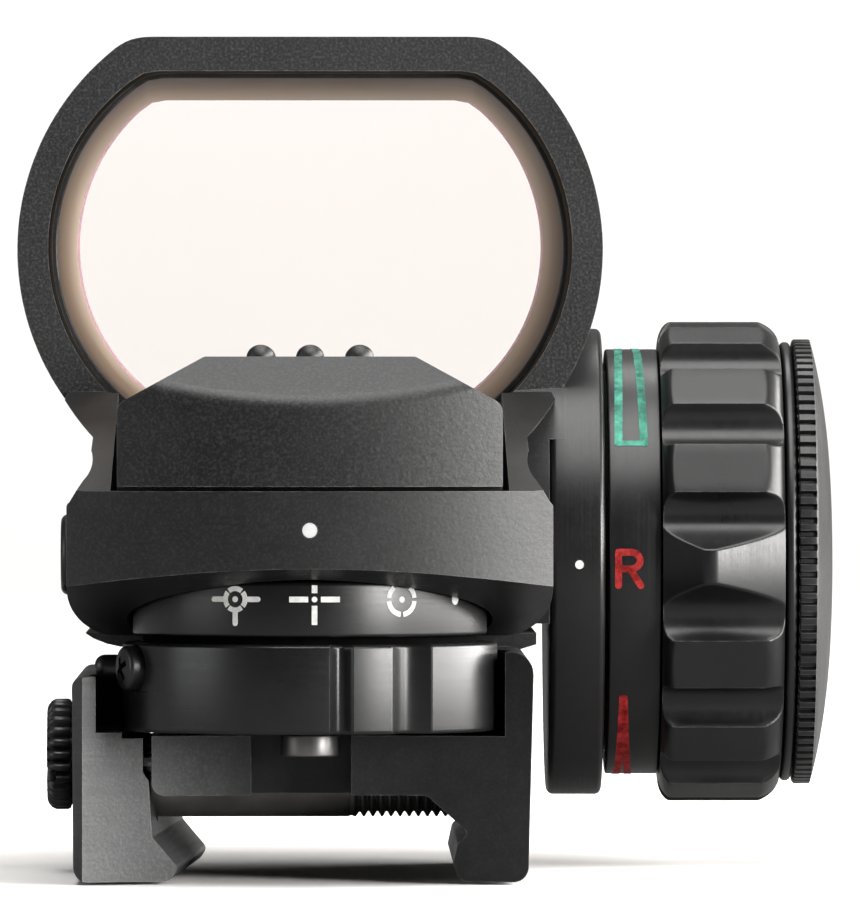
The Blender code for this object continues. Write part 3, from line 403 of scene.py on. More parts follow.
def finish(name, solid, body, look, stands_for=None, smooth=30, edge=None, edge_steps=2,
           edge_angle=32):
    """Turn a millimetre bmesh into a finished piece that rides on a body.

    smooth is the sharp-edge angle, edge the width of an optional rounded edge.
    """
    obj = to_object(name, solid, MM)
    mesh = obj.data
    mesh.materials.append(LOOKS[look])
    for face in mesh.polygons:
        face.material_index = 0
    if edge:
        bevel = obj.modifiers.new("rounded_edges", "BEVEL")
        bevel.width = edge * MM
        bevel.segments = edge_steps
        bevel.limit_method = "ANGLE"
        bevel.angle_limit = radians(edge_angle)
        bevel.use_clamp_overlap = True
        bevel.miter_outer = "MITER_ARC"
    mesh.shade_smooth()
    mesh.set_sharp_from_angle(angle=radians(smooth))
    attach(obj, body)
    if stands_for:
        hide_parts(stands_for)
    return obj


def paint(obj, looks, choose):
    """Add more looks and choose a slot for each face from its centre (mm) and normal."""
    for look in looks:
        obj.data.materials.append(LOOKS[look])
    for face in obj.data.polygons:
        face.material_index = choose(face.center / MM, face.normal)


def rough_out(solid):
    """Working object in millimetres, ready for combine()."""
    return to_object("work", solid)


def release(work):
    """Take a working object back out of the scene as a bmesh."""
    solid = bmesh.new()
    mesh = work.data
    solid.from_mesh(mesh)
    bpy.data.objects.remove(work, do_unlink=True)
    bpy.data.meshes.remove(mesh)
    return solid


def combine(work, tools, operation="DIFFERENCE"):
    """Cut, join or intersect a working object with each tool in turn."""
    for tool_solid in tools:
        tool = to_object("tool", tool_solid)
        boolean = work.modifiers.new("boolean", "BOOLEAN")
        boolean.operation = operation
        boolean.solver = "EXACT"
        boolean.object = tool
        depsgraph = bpy.context.evaluated_depsgraph_get()
        depsgraph.update()
        mesh = bpy.data.meshes.new_from_object(work.evaluated_get(depsgraph))
        work.modifiers.clear()
        old_mesh = work.data
        work.data = mesh
        bpy.data.meshes.remove(old_mesh)
        result = bmesh.new()
        result.from_mesh(mesh)
        bmesh.ops.remove_doubles(result, verts=result.verts, dist=1.5e-3)
        bmesh.ops.dissolve_degenerate(result, edges=result.edges, dist=1e-3)
        result.to_mesh(mesh)
        result.free()
        release(tool).free()


# ------------------------------------------------------------------ solids
def place(letter, along, first, second):
    """Point from its place along an axis and its other two coordinates."""
    if letter == "X":
        return (along, first, second)
    if letter == "Y":
        return (first, along, second)
    return (first, second, along)


def bridge(solid, rows, closed=False):
    """Faces between successive rows of vertices; a row of one vertex is a tip."""
    pairs = list(zip(rows, rows[1:]))
    if closed:
        pairs.append((rows[-1], rows[0]))
    count = max(len(row) for row in rows)
    for low, high in pairs:
        for i in range(count):
            j = (i + 1) % count
            if len(low) == 1:
                solid.faces.new((low[0], high[i], high[j]))
            elif len(high) == 1:
                solid.faces.new((low[i], high[0], low[j]))
            else:
                solid.faces.new((low[i], high[i], high[j], low[j]))


def add_rows(solid, rings):
    return [[solid.verts.new(point) for point in ring] for ring in rings]


def skin(rings, closed=False):
    """Surface over rings of points; closed joins the last ring to the first."""
    solid = bmesh.new()
    bridge(solid, add_rows(solid, rings), closed)
    return solid


def loft(sections):
    """Skin over sections, with both ends capped."""
    solid = bmesh.new()
    rows = add_rows(solid, sections)
    bridge(solid, rows)
    solid.faces.new(rows[0])
    solid.faces.new(rows[-1][::-1])
    return solid


def prism(outline, start, end, letter="Z"):
    solid = bmesh.new()
    rows = add_rows(solid, [[place(letter, along, *point) for point in outline]
                            for along in (start, end)])
    solid.faces.new(rows[0])
    solid.faces.new(rows[1][::-1])
    bridge(solid, rows)
    return solid


def box(x0, x1, y0, y1, z0, z1):
    return prism([(x0, y0), (x1, y0), (x1, y1), (x0, y1)], z0, z1)


def lathe(profile, steps, axis, shape=None):
    """Turn (along, radius) points about an axis; shape(angle, along, radius) may vary them."""
    letter, first, second = axis
    rings = []
    for along, radius in profile:
        if radius <= 1e-9:
            rings.append([place(letter, along, first, second)])
            continue
        ring = []
        for k in range(steps):
            angle = 2 * pi * k / steps
            reach = shape(angle, along, radius) if shape else radius
            ring.append(place(letter, along, first + reach * cos(angle),
                              second + reach * sin(angle)))
        rings.append(ring)
    return skin(rings, closed=len(rings[0]) > 1 and len(rings[-1]) > 1)


def rod(radius, start, end, steps, axis):
    return lathe([(start, 0), (start, radius), (end, radius), (end, 0)], steps, axis)


def washer(inner, outer, start, end, steps, axis):
    return lathe([(start, inner), (start, outer), (end, outer), (end, inner)], steps, axis)


def turned(solid, angle, axis):
    """Rotate a solid about the origin, then shift it on to an axis."""
    matrix = Matrix.Translation(place(axis[0], 0, *axis[1:])) @ Matrix.Rotation(angle, 4, axis[0])
    bmesh.ops.transform(solid, matrix=matrix, verts=solid.verts)
    return solid


# ------------------------------------------------------------------ outlines
def arc(x, y, radius, start, end, steps, radius_y=None):
    angles = [start + (end - start) * i / steps for i in range(steps + 1)]
    return [(x + radius * cos(angle), y + (radius_y or radius) * sin(angle)) for angle in angles]


def rounded(corners, steps):
    """Outline or turned profile from (x, y, corner radius); radius 0 keeps a corner sharp."""
    points = []
    for i, (x, y, radius) in enumerate(corners):
        if radius <= 0:
            points.append((x, y))
            continue
        corner = Vector((x, y))
        back = (Vector(corners[i - 1][:2]) - corner).normalized()
        ahead = (Vector(corners[(i + 1) % len(corners)][:2]) - corner).normalized()
        half = back.angle(ahead) / 2
        reach = radius / tan(half)
        centre = corner + (back + ahead).normalized() * (radius / sin(half))
        first = corner + back * reach - centre
        last = corner + ahead * reach - centre
        start = atan2(first.y, first.x)
        end = atan2(last.y, last.x)
        while end - start > pi:
            end -= 2 * pi
        while end - start < -pi:
            end += 2 * pi
        points += arc(centre.x, centre.y, radius, start, end, steps)
    return points


def ease_to_top(side, end, pull, steps):
    """Cubic curve that carries a rising side outline level on to a flat top at end."""
    start = Vector(side[-1])
    heading = (start - Vector(side[-2])).normalized()
    end = Vector(end)
    reach = (end - start).length * pull
    leave = start + heading * reach
    arrive = end + Vector((1, 0)) * reach
    points = []
    for i in range(1, steps + 1):
        t = i / steps
        point = (start * (1 - t) ** 3 + leave * 3 * t * (1 - t) ** 2
                 + arrive * 3 * t * t * (1 - t) + end * t ** 3)
        points.append((point.x, point.y))
    return points


def window(top, arc_x, arc_z, radius, low):
    """Flat-topped opening with round sides, counter-clockwise from the lower right."""
    steps = 44
    corner = 0.8
    side = arc(arc_x, arc_z, radius, -asin((arc_z - low) / radius),
               asin((top - arc_z) / radius), steps)
    kept = [point for point in side if point[1] < top - corner * 0.9]
    end = (side[-1][0] - corner * 1.1, top)
    right = kept + ease_to_top(kept, end, pull=0.4, steps=steps + 1 - len(kept))
    return right + [(-x, z) for x, z in reversed(right)]


def window_ring(opening, y):
    return [(x, y, z) for x, z in window(*opening)]


def mirrored(half):
    """Close a right-hand half outline whose ends lie on x = 0."""
    return half + [(-x, z) for x, z in reversed(half[1:-1])]


# ------------------------------------------------------------------ housing
# right half of the body and hood outline (x, z), from the bottom centre to the top centre
body_half = [(0.0, BODY_BOTTOM)]
body_half += arc(BODY_HALF - BODY_CORNER, BODY_BOTTOM + BODY_CORNER, BODY_CORNER, -pi / 2, 0, 12)
body_half += [(BODY_HALF, BODY_TOP - 1.0)]
body_half += arc(BODY_HALF - 0.4, BODY_TOP - 1.0, 0.4, 0, radians(60), 3)[1:]
body_half += arc(BODY_HALF + 0.15, 22.6, 1.72, pi + radians(52), pi - radians(25), 10)[1:]
body_half += arc(HOOD_ARC_X, HOOD_ARC_Z, HOOD_ARC_R, -asin((HOOD_ARC_Z - 24.2) / HOOD_ARC_R),
                 asin((HOOD_TOP - 1.5 - HOOD_ARC_Z) / HOOD_ARC_R), 44)
body_half += ease_to_top(body_half, end=(11.0, HOOD_TOP), pull=0.42, steps=8)
body_half.append((0.0, HOOD_TOP))

# the hood narrows and drops towards the front, above TAPER_Z only
TAPER_Z = 24
sections = []
for i in range(13):
    f = i / 12
    y = HOOD_REAR + (HOOD_FRONT - HOOD_REAR) * f
    narrowing = 1.0 - 0.045 * f ** 1.5 - 1
    drop = 1.9 * f ** 1.6
    section = []
    for x, z in mirrored(body_half):
        rise = max(0.0, z - TAPER_Z)
        section.append((x * (1 + narrowing * min(1.0, rise / 8)), y,
                        z - drop * (rise / (HOOD_TOP - TAPER_Z))))
    sections.append(section)
housing = rough_out(loft(sections))

# rear body: bowed rear end, top sloping up to the hood
cheek = [point for point in body_half if point[1] < 26.9]
cheek += [(cheek[-1][0] - 0.2, 27.3), (0.0, 27.3)]
rear = rough_out(prism(mirrored(cheek), REAR_Y - 2, HOOD_REAR + 0.4, "Y"))
PLAN_HALF = 20
bow_end = atan2(PLAN_HALF, sqrt(REAR_R ** 2 - PLAN_HALF ** 2))
bow_angles = [bow_end - 2 * bow_end * i / 96 for i in range(97)]
bow = [(REAR_R * sin(angle), REAR_Y + REAR_R - REAR_R * cos(angle)) for angle in bow_angles]
combine(rear, [prism([(PLAN_HALF, HOOD_REAR + 2), (-PLAN_HALF, HOOD_REAR + 2)] + bow[::-1],
                     0, 40)], "INTERSECT")
above_slope = [(REAR_Y - 5, WALL_TOP), (REAR_Y + 3.0, WALL_TOP), (HOOD_REAR, 27.4),
               (HOOD_REAR + 3, 27.4), (HOOD_REAR + 3, 45), (REAR_Y - 5, 45)]
combine(rear, [prism(above_slope, -30, 30, "X")])
combine(housing, [release(rear)], "UNION")

# disc on the right wall, its rim falling away towards the body, and the flange outside it
DISC_X0, DISC_FULL_X = 13.9, 17.4
rim_r = FLANGE_R + 0.01
disc_xs = [DISC_X0 + (DISC_FULL_X - DISC_X0) * i / 12 for i in range(13)]
rim = [(x, rim_r - 0.014 * (DISC_FULL_X - x) ** 2) for x in disc_xs]
inner_disc = rough_out(lathe([(DISC_X0, 0)] + rim + [(17.8, rim_r), (17.8, 0)], 240, KNOB_AXIS))
disc_limit = [(12, BODY_BOTTOM + 0.5), (FLANGE_X0, BODY_BOTTOM + 0.5), (FLANGE_X0, 24),
              (30, 24), (30, 34), (FLANGE_X0 + 0.6, 34), (FLANGE_X0 + 0.6, 31.0), (12, 31.0)]
combine(inner_disc, [prism(disc_limit, -30, 70, "Y")], "INTERSECT")
flange = rounded([(FLANGE_X0, 0, 0), (FLANGE_X0, FLANGE_R, 0.5), (FLANGE_X1, FLANGE_R, 0.42),
                  (FLANGE_X1, 0, 0)], 8)
combine(housing, [release(inner_disc), lathe(flange, 240, KNOB_AXIS)], "UNION")

# side outlines (y, z) of what is cut from the hood's front and from under the rear
lean = [(HOOD_FRONT - 0.6, 5), (HOOD_FRONT - 0.6, 20), (HOOD_FRONT - 6.5, 60),
        (HOOD_FRONT + 9, 60), (HOOD_FRONT + 9, 5)]
undercut = [(REAR_Y - 5, 17.4), (-30.0, 15.5), (-28.6, 14.97), (-26.9, 14.42), (-24.4, 13.8),
            (-21.0, 13.05), (-10.2, 10.7), (-9.2, 10.48), (-10.2, 0), (REAR_Y - 5, 0)]
combine(housing, [
    prism(lean, -40, 40, "X"),
    prism(undercut, -30, 30, "X"),
    # channel for the block, open at the rear above the wall
    box(-CHANNEL_HALF, CHANNEL_HALF, REAR_Y + 3.4, LENS_Y - 4.0, FLOOR_Z, 34),
    box(-CHANNEL_HALF, CHANNEL_HALF, REAR_Y - 4, REAR_Y + 3.5, WALL_TOP, 34),
    # hood opening: rear face, bezel and lens seat, front
    prism(window(FACE_TOP, FACE_ARC_X, FACE_ARC_Z, FACE_ARC_R, 25.5),
          HOOD_REAR - 1, HOOD_REAR + 1.6, "Y"),
    prism(window(FACE_TOP + 0.2, FACE_ARC_X, FACE_ARC_Z, FACE_ARC_R + 0.1, 23.5),
          HOOD_REAR + 1.5, LENS_Y + 4.6, "Y"),
    prism(window(48.7, 3.4, 37.6, 13.75, 25.4), LENS_Y + 3, HOOD_FRONT + 3, "Y"),
    # dial well and its centre hole
    rod(DIAL_R + 0.4, BODY_BOTTOM - 8, DIAL_Z1 + 0.3, 160, DIAL_AXIS),
    rod(2.35, DIAL_Z1, FLOOR_Z + 1, 40, DIAL_AXIS),
    # knob bore, windage screw hole and the two dot holes
    rod(13.2, 18.0, FLANGE_X1 + 1, 96, KNOB_AXIS),
    rod(3.05, -17.4, -15.2, 64, WINDAGE_AXIS),
    rod(0.535, REAR_Y - 1, REAR_Y + 0.7, 40, REAR_DOT_AXIS),
    rod(0.33, KNOB_Y - FLANGE_R - 1, KNOB_Y - FLANGE_R + 0.5, 28, FLANGE_DOT_AXIS)])
shell = finish("housing_shell", release(housing), "housing", "housing", "main_housing",
               smooth=28, edge=0.16, edge_angle=34)


def housing_look(centre, normal):
    """1 on the hood's rear face, 2 on the flange, 0 elsewhere."""
    if abs(normal.y) > 0.99 and abs(centre.y - HOOD_REAR) < 0.05 and centre.z > 24.5:
        return 1
    reach = sqrt((centre.y - KNOB_Y) ** 2 + (centre.z - KNOB_Z) ** 2)
    on_flange = (FLANGE_X0 + 0.05 < centre.x < FLANGE_X1 + 0.05 and centre.z < 31.6
                 and 12.5 < reach < FLANGE_R + 0.1)
    return 2 if on_flange else 0


paint(shell, ("blasted", "flange"), housing_look)

# ------------------------------------------------------------------ lens group
# openings are (top, arc x, arc z, arc radius, low edge)
seat = (FACE_TOP - 0.12, FACE_ARC_X, FACE_ARC_Z, FACE_ARC_R - 0.22, 23.9)
lip = (49.25, 3.7, FACE_ARC_Z, 14.0, 25.0)
clear = (LENS_TOP, LENS_ARC_X, LENS_ARC_Z, LENS_ARC_R, 25.6)


def between(first, second, t):
    return tuple(x + (y - x) * t for x, y in zip(first, second))


# bezel: a ring against the seat, then a funnel from the lip to the clear opening
LIP_Y = HOOD_REAR + 2.5
FUNNEL_FRONT = LENS_Y - 0.45
rings = [window_ring(seat, HOOD_REAR + 2.1),
         window_ring(between(seat, lip, 0.75), HOOD_REAR + 2.1),
         window_ring(between(seat, lip, 0.95), HOOD_REAR + 2.18)]
for i in range(9):
    t = i / 8
    rings.append(window_ring(between(lip, clear, t ** 0.85), LIP_Y + (FUNNEL_FRONT - LIP_Y) * t))
rings += [window_ring(between(seat, clear, 0.5), LENS_Y - 0.4),
          window_ring(seat, LENS_Y - 0.4)]
bezel = finish("bezel_ring", skin(rings, closed=True), "housing", "bronze", "lens_bezel",
               smooth=40)
paint(bezel, ("housing",),
      lambda centre, normal: int(centre.y < HOOD_REAR + 2.45 and normal.y < -0.2))

lens_opening = (FACE_TOP - 0.5, FACE_ARC_X, FACE_ARC_Z, FACE_ARC_R - 0.5, 24.3)
lens_edge = window(*lens_opening)
LENS_MID_Z, LENS_REACH_SQUARED = 37.0, 441.0


def dome(y, radius, scale):
    """The lens outline shrunk by scale and laid on a sphere."""
    ring = []
    for x, z in lens_edge:
        x_in = x * scale
        z_in = LENS_MID_Z + (z - LENS_MID_Z) * scale
        reach_squared = x_in ** 2 + (z_in - LENS_MID_Z) ** 2
        bulge = sqrt(radius ** 2 - reach_squared) - sqrt(radius ** 2 - LENS_REACH_SQUARED)
        ring.append((x_in, y + bulge, z_in))
    return ring


scales = [0.12, 0.3, 0.5, 0.68, 0.84, 0.95, 1.0]
lens_rings = [dome(LENS_Y, 190.0, scale) for scale in scales]
lens_rings += [dome(LENS_Y + LENS_THICK, 200.0, scale) for scale in reversed(scales)]
lens = finish("lens_glass", loft(lens_rings), "housing", "lens", "objective_lens", smooth=50)
paint(lens, ("rim",), lambda centre, normal: int(abs(normal.y) < 0.4))

# fine rosy line inside the bezel
line_out = (LENS_TOP + 0.28, LENS_ARC_X, LENS_ARC_Z, LENS_ARC_R + 0.26, 25.45)
line_in = (LENS_TOP - 0.02, LENS_ARC_X, LENS_ARC_Z, LENS_ARC_R - 0.16, 25.7)
finish("lens_rim_line", skin([window_ring(line_out, LENS_Y - 0.36),
                              window_ring(line_in, LENS_Y - 0.36),
                              window_ring(line_in, LENS_Y - 0.30),
                              window_ring(line_out, LENS_Y - 0.30)], closed=True),
       "housing", "rim", smooth=40)

# gasket in front of the lens
gasket_in = (LENS_TOP + 0.35, LENS_ARC_X, LENS_ARC_Z, LENS_ARC_R + 0.3, 25.5)
gasket_mid = between(lens_opening, gasket_in, 0.9)
gasket_y0 = LENS_Y + LENS_THICK + 0.95
gasket_y1 = LENS_Y + LENS_THICK + 1.5
finish("lens_gasket_ring", skin([
    window_ring(lens_opening, gasket_y0), window_ring(gasket_mid, gasket_y0),
    window_ring(gasket_in, gasket_y0 + 0.12), window_ring(gasket_in, gasket_y1 - 0.12),
    window_ring(gasket_mid, gasket_y1), window_ring(lens_opening, gasket_y1)], closed=True),
    "housing", "rubber", "lens_gasket", smooth=45)

# ------------------------------------------------------------------ emitter block
DECK_REAR_Y = -26.35                    # the deck is level in front of this and slopes behind


def block_section(x):
    """Side outline at one station: bowed rear wall rolled into the sloping deck."""
    wall_y = REAR_Y + REAR_R - sqrt(REAR_R ** 2 - x * x)
    slope = (BLOCK_TOP - 26.75) / (DECK_REAR_Y - REAR_Y)
    edge_z = BLOCK_TOP + slope * (wall_y - DECK_REAR_Y)
    outline = rounded([
        (REAR_Y + 3.9, BLOCK_Z0, 0), (BLOCK_FRONT, BLOCK_Z0, 0), (BLOCK_FRONT - 1.5, BLOCK_TOP, 0),
        (DECK_REAR_Y, BLOCK_TOP, 0), (wall_y, edge_z, 1.7), (wall_y, WALL_TOP + 0.3, 0),
        (REAR_Y + 3.9, WALL_TOP + 0.3, 0)], 9)
    return [(x, y, z) for y, z in outline]


SHOULDER_Z = 26.5
block_reach = BLOCK_HALF + 0.05
block = rough_out(loft([block_section(-block_reach + 2 * block_reach * i / 44)
                        for i in range(45)]))
shoulder = rounded([
    (-BLOCK_HALF, BLOCK_Z0 - 1, 0), (BLOCK_HALF, BLOCK_Z0 - 1, 0), (BLOCK_HALF, SHOULDER_Z, 0.9),
    (BLOCK_TOP_HALF, BLOCK_TOP + 0.01, 0.7), (-BLOCK_TOP_HALF, BLOCK_TOP + 0.01, 0.7),
    (-BLOCK_HALF, SHOULDER_Z, 0.9)], 8)
combine(block, [prism(shoulder, -40, 20, "Y")], "INTERSECT")
combine(block, [
    # round pocket over the dial, slot to the front, groove across the underside
    rod(6.6, BLOCK_Z0 - 2, 27.0, 96, DIAL_AXIS),
    box(-3.2, 3.2, DIAL_Y, BLOCK_FRONT + 2, 21.0, 26.0),
    box(-14, 14, -23.75, -22.25, BLOCK_Z0 - 1, BLOCK_Z0 + 0.35),
    # elevation screw hole, and a blind hole to its left
    rod(1.75, 27.5, 32, 48, ELEVATION_AXIS),
    rod(1.15, BLOCK_Z0 - 1, 28, 24, ELEVATION_AXIS),
    rod(1.4, BLOCK_Z0 - 1, BLOCK_Z0 + 2.2, 24, ("Z", -6.5, -4.0))])
finish("emitter_housing", release(block), "emitter", "block", "emitter_block",
       edge=0.42, edge_steps=5, edge_angle=24)


def rib(x, y_rear, y_front):
    """Half-round bead with rounded ends on the block's deck."""
    half_width, height, end_length = 0.95, 0.86, 0.9
    quarter = [pi / 2 * i / 5 for i in range(6)]
    stations = [(y_rear + end_length * (1 - cos(t)), sin(t)) for t in quarter]
    stations += [(y_front - end_length * (1 - cos(t)), sin(t)) for t in reversed(quarter)]
    rib_sections = []
    for y, size in stations:
        size = max(size, 0.04)
        half = half_width * size
        crown = [(x + half * cos(pi - pi * k / 14), y,
                  BLOCK_TOP - 0.06 + height * size * sin(pi - pi * k / 14)) for k in range(15)]
        rib_sections.append([(x - half, y, BLOCK_TOP - 0.35)] + crown
                            + [(x + half, y, BLOCK_TOP - 0.35)])
    return loft(rib_sections)


for i, x in enumerate((-3.3, 0.02, 3.35)):
    finish("top_rib_%d" % (i + 1), rib(x, -25.8, BLOCK_FRONT - 3.5), "emitter", "block",
           smooth=40)

elevation = rounded([
    (19.1, 0, 0), (19.1, 0.95, 0.2), (27.8, 0.95, 0), (27.8, 1.45, 0.1), (29.2, 1.45, 0.2),
    (29.2, 0.95, 0.0), (28.5, 0.75, 0), (28.5, 0, 0)], 4)
finish("elevation_adjuster", lathe(elevation, 48, ELEVATION_AXIS), "elevation", "screw",
       "elevation_screw")

windage = rough_out(lathe(rounded([
    (-17.15, 0, 0), (-17.15, 2.78, 0.5), (-15.5, 2.78, 0.1), (-15.5, 1.2, 0),
    (-13.25, 1.2, 0.2), (-13.25, 0, 0)], 6), 96, WINDAGE_AXIS))
combine(windage, [turned(box(-17.8, -16.6, -3.4, 3.4, -0.35, 0.35), radians(58), WINDAGE_AXIS)])
finish("windage_adjuster", release(windage), "windage", "screw", "windage_screw", edge=0.06)


# ------------------------------------------------------------------ marks on turned surfaces
def wrap(axis, radius, start):
    """Map (around, along) millimetres on to a turned surface, from a start angle."""
    letter, first, second = axis

    def surface(around, along, lift):
        angle = start + around / radius
        reach = radius + lift
        return place(letter, along, first + reach * cos(angle), second + reach * sin(angle))
    return surface


SUNK = -0.05                            # underside of every mark


def slab(mark, rows, surface, lift):
    """Closed thin plate from rows of (around, along) points."""
    top = add_rows(mark, [[surface(*point, lift) for point in row] for row in rows])
    low = add_rows(mark, [[surface(*point, SUNK) for point in row] for row in rows])
    last = len(rows[0]) - 1
    for i in range(len(rows) - 1):
        for j in range(last):
            mark.faces.new((top[i][j], top[i + 1][j], top[i + 1][j + 1], top[i][j + 1]))
            mark.faces.new((low[i][j], low[i][j + 1], low[i + 1][j + 1], low[i + 1][j]))
    for i in range(len(rows) - 1):
        mark.faces.new((top[i][0], low[i][0], low[i + 1][0], top[i + 1][0]))
        mark.faces.new((top[i][last], top[i + 1][last], low[i + 1][last], low[i][last]))
    for j in range(last):
        mark.faces.new((top[0][j], top[0][j + 1], low[0][j + 1], low[0][j]))
        mark.faces.new((top[-1][j], low[-1][j], low[-1][j + 1], top[-1][j + 1]))


def stroke(mark, path, width, surface, lift=0.03, round_ends=True):
    """Ribbon of constant width along a polyline."""
    spacing = 0.25
    dense = []
    for start, end in zip(path, path[1:]):
        length = sqrt((end[0] - start[0]) ** 2 + (end[1] - start[1]) ** 2)
        pieces = max(1, int(length / spacing))
        dense += [(start[0] + (end[0] - start[0]) * i / pieces,
                   start[1] + (end[1] - start[1]) * i / pieces) for i in range(pieces)]
    dense.append(path[-1])
    tangents = []
    for i in range(len(dense)):
        before = dense[max(0, i - 1)]
        after = dense[min(len(dense) - 1, i + 1)]
        tangents.append(Vector((after[0] - before[0], after[1] - before[1])).normalized())
    half = width / 2

    def row(i, shift=0.0):
        """Row across the ribbon; shift moves it along by that share of the half width."""
        tangent = tangents[i]
        middle = Vector(dense[i]) + tangent * half * shift
        side = Vector((-tangent.y, tangent.x)) * (half * sqrt(1 - shift * shift))
        return [tuple(middle + side), tuple(middle), tuple(middle - side)]

    rows = [row(i) for i in range(len(dense))]
    if round_ends:
        shifts = (0.45, 0.8, 0.98)
        rows = [row(0, -s) for s in reversed(shifts)] + rows + [row(-1, s) for s in shifts]
    slab(mark, rows, surface, lift)


def dot(mark, around, along, radius, surface, lift=0.03):
    steps = 24
    circle = [(around + radius * cos(2 * pi * k / steps), along + radius * sin(2 * pi * k / steps))
              for k in range(steps)]
    top, low = add_rows(mark, [[surface(*point, height) for point in circle]
                               for height in (lift, SUNK)])
    top_centre = mark.verts.new(surface(around, along, lift))
    low_centre = mark.verts.new(surface(around, along, SUNK))
    for k in range(steps):
        m = (k + 1) % steps
        mark.faces.new((top_centre, top[k], top[m]))
        mark.faces.new((low_centre, low[m], low[k]))
        mark.faces.new((top[k], low[k], low[m], top[m]))


# ------------------------------------------------------------------ reticle selector
dial = rounded([
    (9.2, 0, 0), (9.2, 2.6, 0), (10.46, 2.6, 0), (10.46, 9.4, 0), (DIAL_Z0, 9.4, 0),
    (DIAL_Z0, DIAL_R, 0.25), (DIAL_Z1, DIAL_R, 0.3), (DIAL_Z1, 2.0, 0), (18.9, 2.0, 0),
    (18.9, 0, 0)], 5)
finish("dial_drum", lathe(dial, 192, DIAL_AXIS), "selector", "selector", "reticle_dial")
# near-black ring in the gap between dial and finger ring: painted shade where the dial's overhang
# shades the groove
finish("dial_groove_shade_ring",
       washer(8.0, 11.3, RING_Z1 - 0.02, DIAL_Z0 + 0.02, 160, DIAL_AXIS),
       "selector", "groove", smooth=40)

on_dial = wrap(DIAL_AXIS, DIAL_R, start=-pi / 2)
DIAL_EDGE = DIAL_Z1 - 0.2               # marks stop here, below the dial's rounded top edge
MARK_Z = 13.45


def arms(mark, around, inner, outer, width, **style):
    """Left, right and lower arm of a cross."""
    for side, up in ((-1, 0), (1, 0), (0, -1)):
        stroke(mark, [(around + side * inner, MARK_Z + up * inner),
                      (around + side * outer, MARK_Z + up * outer)], width, on_dial, **style)


def ring_cross(around):
    """Ring in four arcs, with three arms and a centre dot."""
    mark = bmesh.new()
    for middle in (0, 90, 180, 270):
        stroke(mark, arc(around, MARK_Z, 0.72, radians(middle - 40), radians(middle + 40), 14),
               0.34, on_dial, round_ends=False)
    dot(mark, around, MARK_Z, 0.2, on_dial)
    arms(mark, around, inner=0.74, outer=1.62, width=0.36, lift=0.034)
    return mark


def open_cross(around):
    """Cross with a centre dot; its upper arm runs to the dial's edge."""
    mark = bmesh.new()
    dot(mark, around, MARK_Z, 0.19, on_dial)
    arms(mark, around, inner=0.42, outer=1.7, width=0.38, round_ends=False)
    stroke(mark, [(around, MARK_Z + 0.42), (around, DIAL_EDGE)], 0.38, on_dial, round_ends=False)
    return mark


def broken_ring(around):
    """Ring in four arcs, cut off near the dial's edge, with a centre dot."""
    mark = bmesh.new()
    z = 13.42
    for start in (6, 96, 186, 276):
        path = arc(around, z, 1.0, radians(start), radians(start + 78), 40)
        stroke(mark, [point for point in path if point[1] <= DIAL_EDGE - 0.17], 0.34, on_dial,
               round_ends=False)
    dot(mark, around, z, 0.21, on_dial)
    return mark


def plain_dot(around):
    mark = bmesh.new()
    dot(mark, around, 13.36, 0.36, on_dial)
    return mark


# degrees around the dial from straight behind, positive to the right
for name, make, angle in (("mark_ring_cross", ring_cross, -24.6), ("mark_cross", open_cross, 1.5),
                          ("mark_broken_ring", broken_ring, 30.9), ("mark_dot", plain_dot, 54.4)):
    finish(name, make(DIAL_R * radians(angle)), "selector", "white", smooth=60)

NOTCHES = ((9.6, 3.6, 0.75), (33.0, 7.2, 1.15))     # angle and half width (deg), depth


def notched(angle, along, radius):
    """Finger ring radius, with two shallow notches at the rear."""
    if radius < RING_R - 1.6:
        return radius
    turn = degrees(angle) + 90.0
    if turn > 180:
        turn -= 360
    cut = 0.0
    for middle, half_width, depth in NOTCHES:
        x = abs(turn - middle) / half_width
        cut = max(cut, depth * (1 - x * x))
    return radius - cut


ring_rim = rounded([(RING_Z0, 0, 0), (RING_Z0, RING_R, 0.28), (RING_Z1, RING_R, 0.3),
                    (RING_Z1, 0, 0)], 5)[1:-1]
ring = rough_out(lathe([(RING_Z0, 0.0), (RING_Z0, 6.0)] + ring_rim
                       + [(RING_Z1, 6.0), (RING_Z1, 0.0)], 720, DIAL_AXIS, notched))
SCREW_TURN = atan2(-0.38, -0.93)        # stop screw, left and a little to the rear
PIN_TURN = pi                           # stop pin, straight left
combine(ring, [
    rod(2.9, 8.9, 12, 48, DIAL_AXIS), rod(1.75, 3, 9.5, 32, DIAL_AXIS),
    turned(rod(1.62, 12.25, 14.5, 40, STOP_AXIS), SCREW_TURN, DIAL_AXIS),
    turned(rod(0.95, 10.5, 14.5, 24, STOP_AXIS), SCREW_TURN, DIAL_AXIS),
    turned(rod(1.15, 10.5, 14.5, 32, STOP_AXIS), PIN_TURN, DIAL_AXIS)])
finish("finger_ring", release(ring), "selector", "selector", "selector_ring", smooth=24)

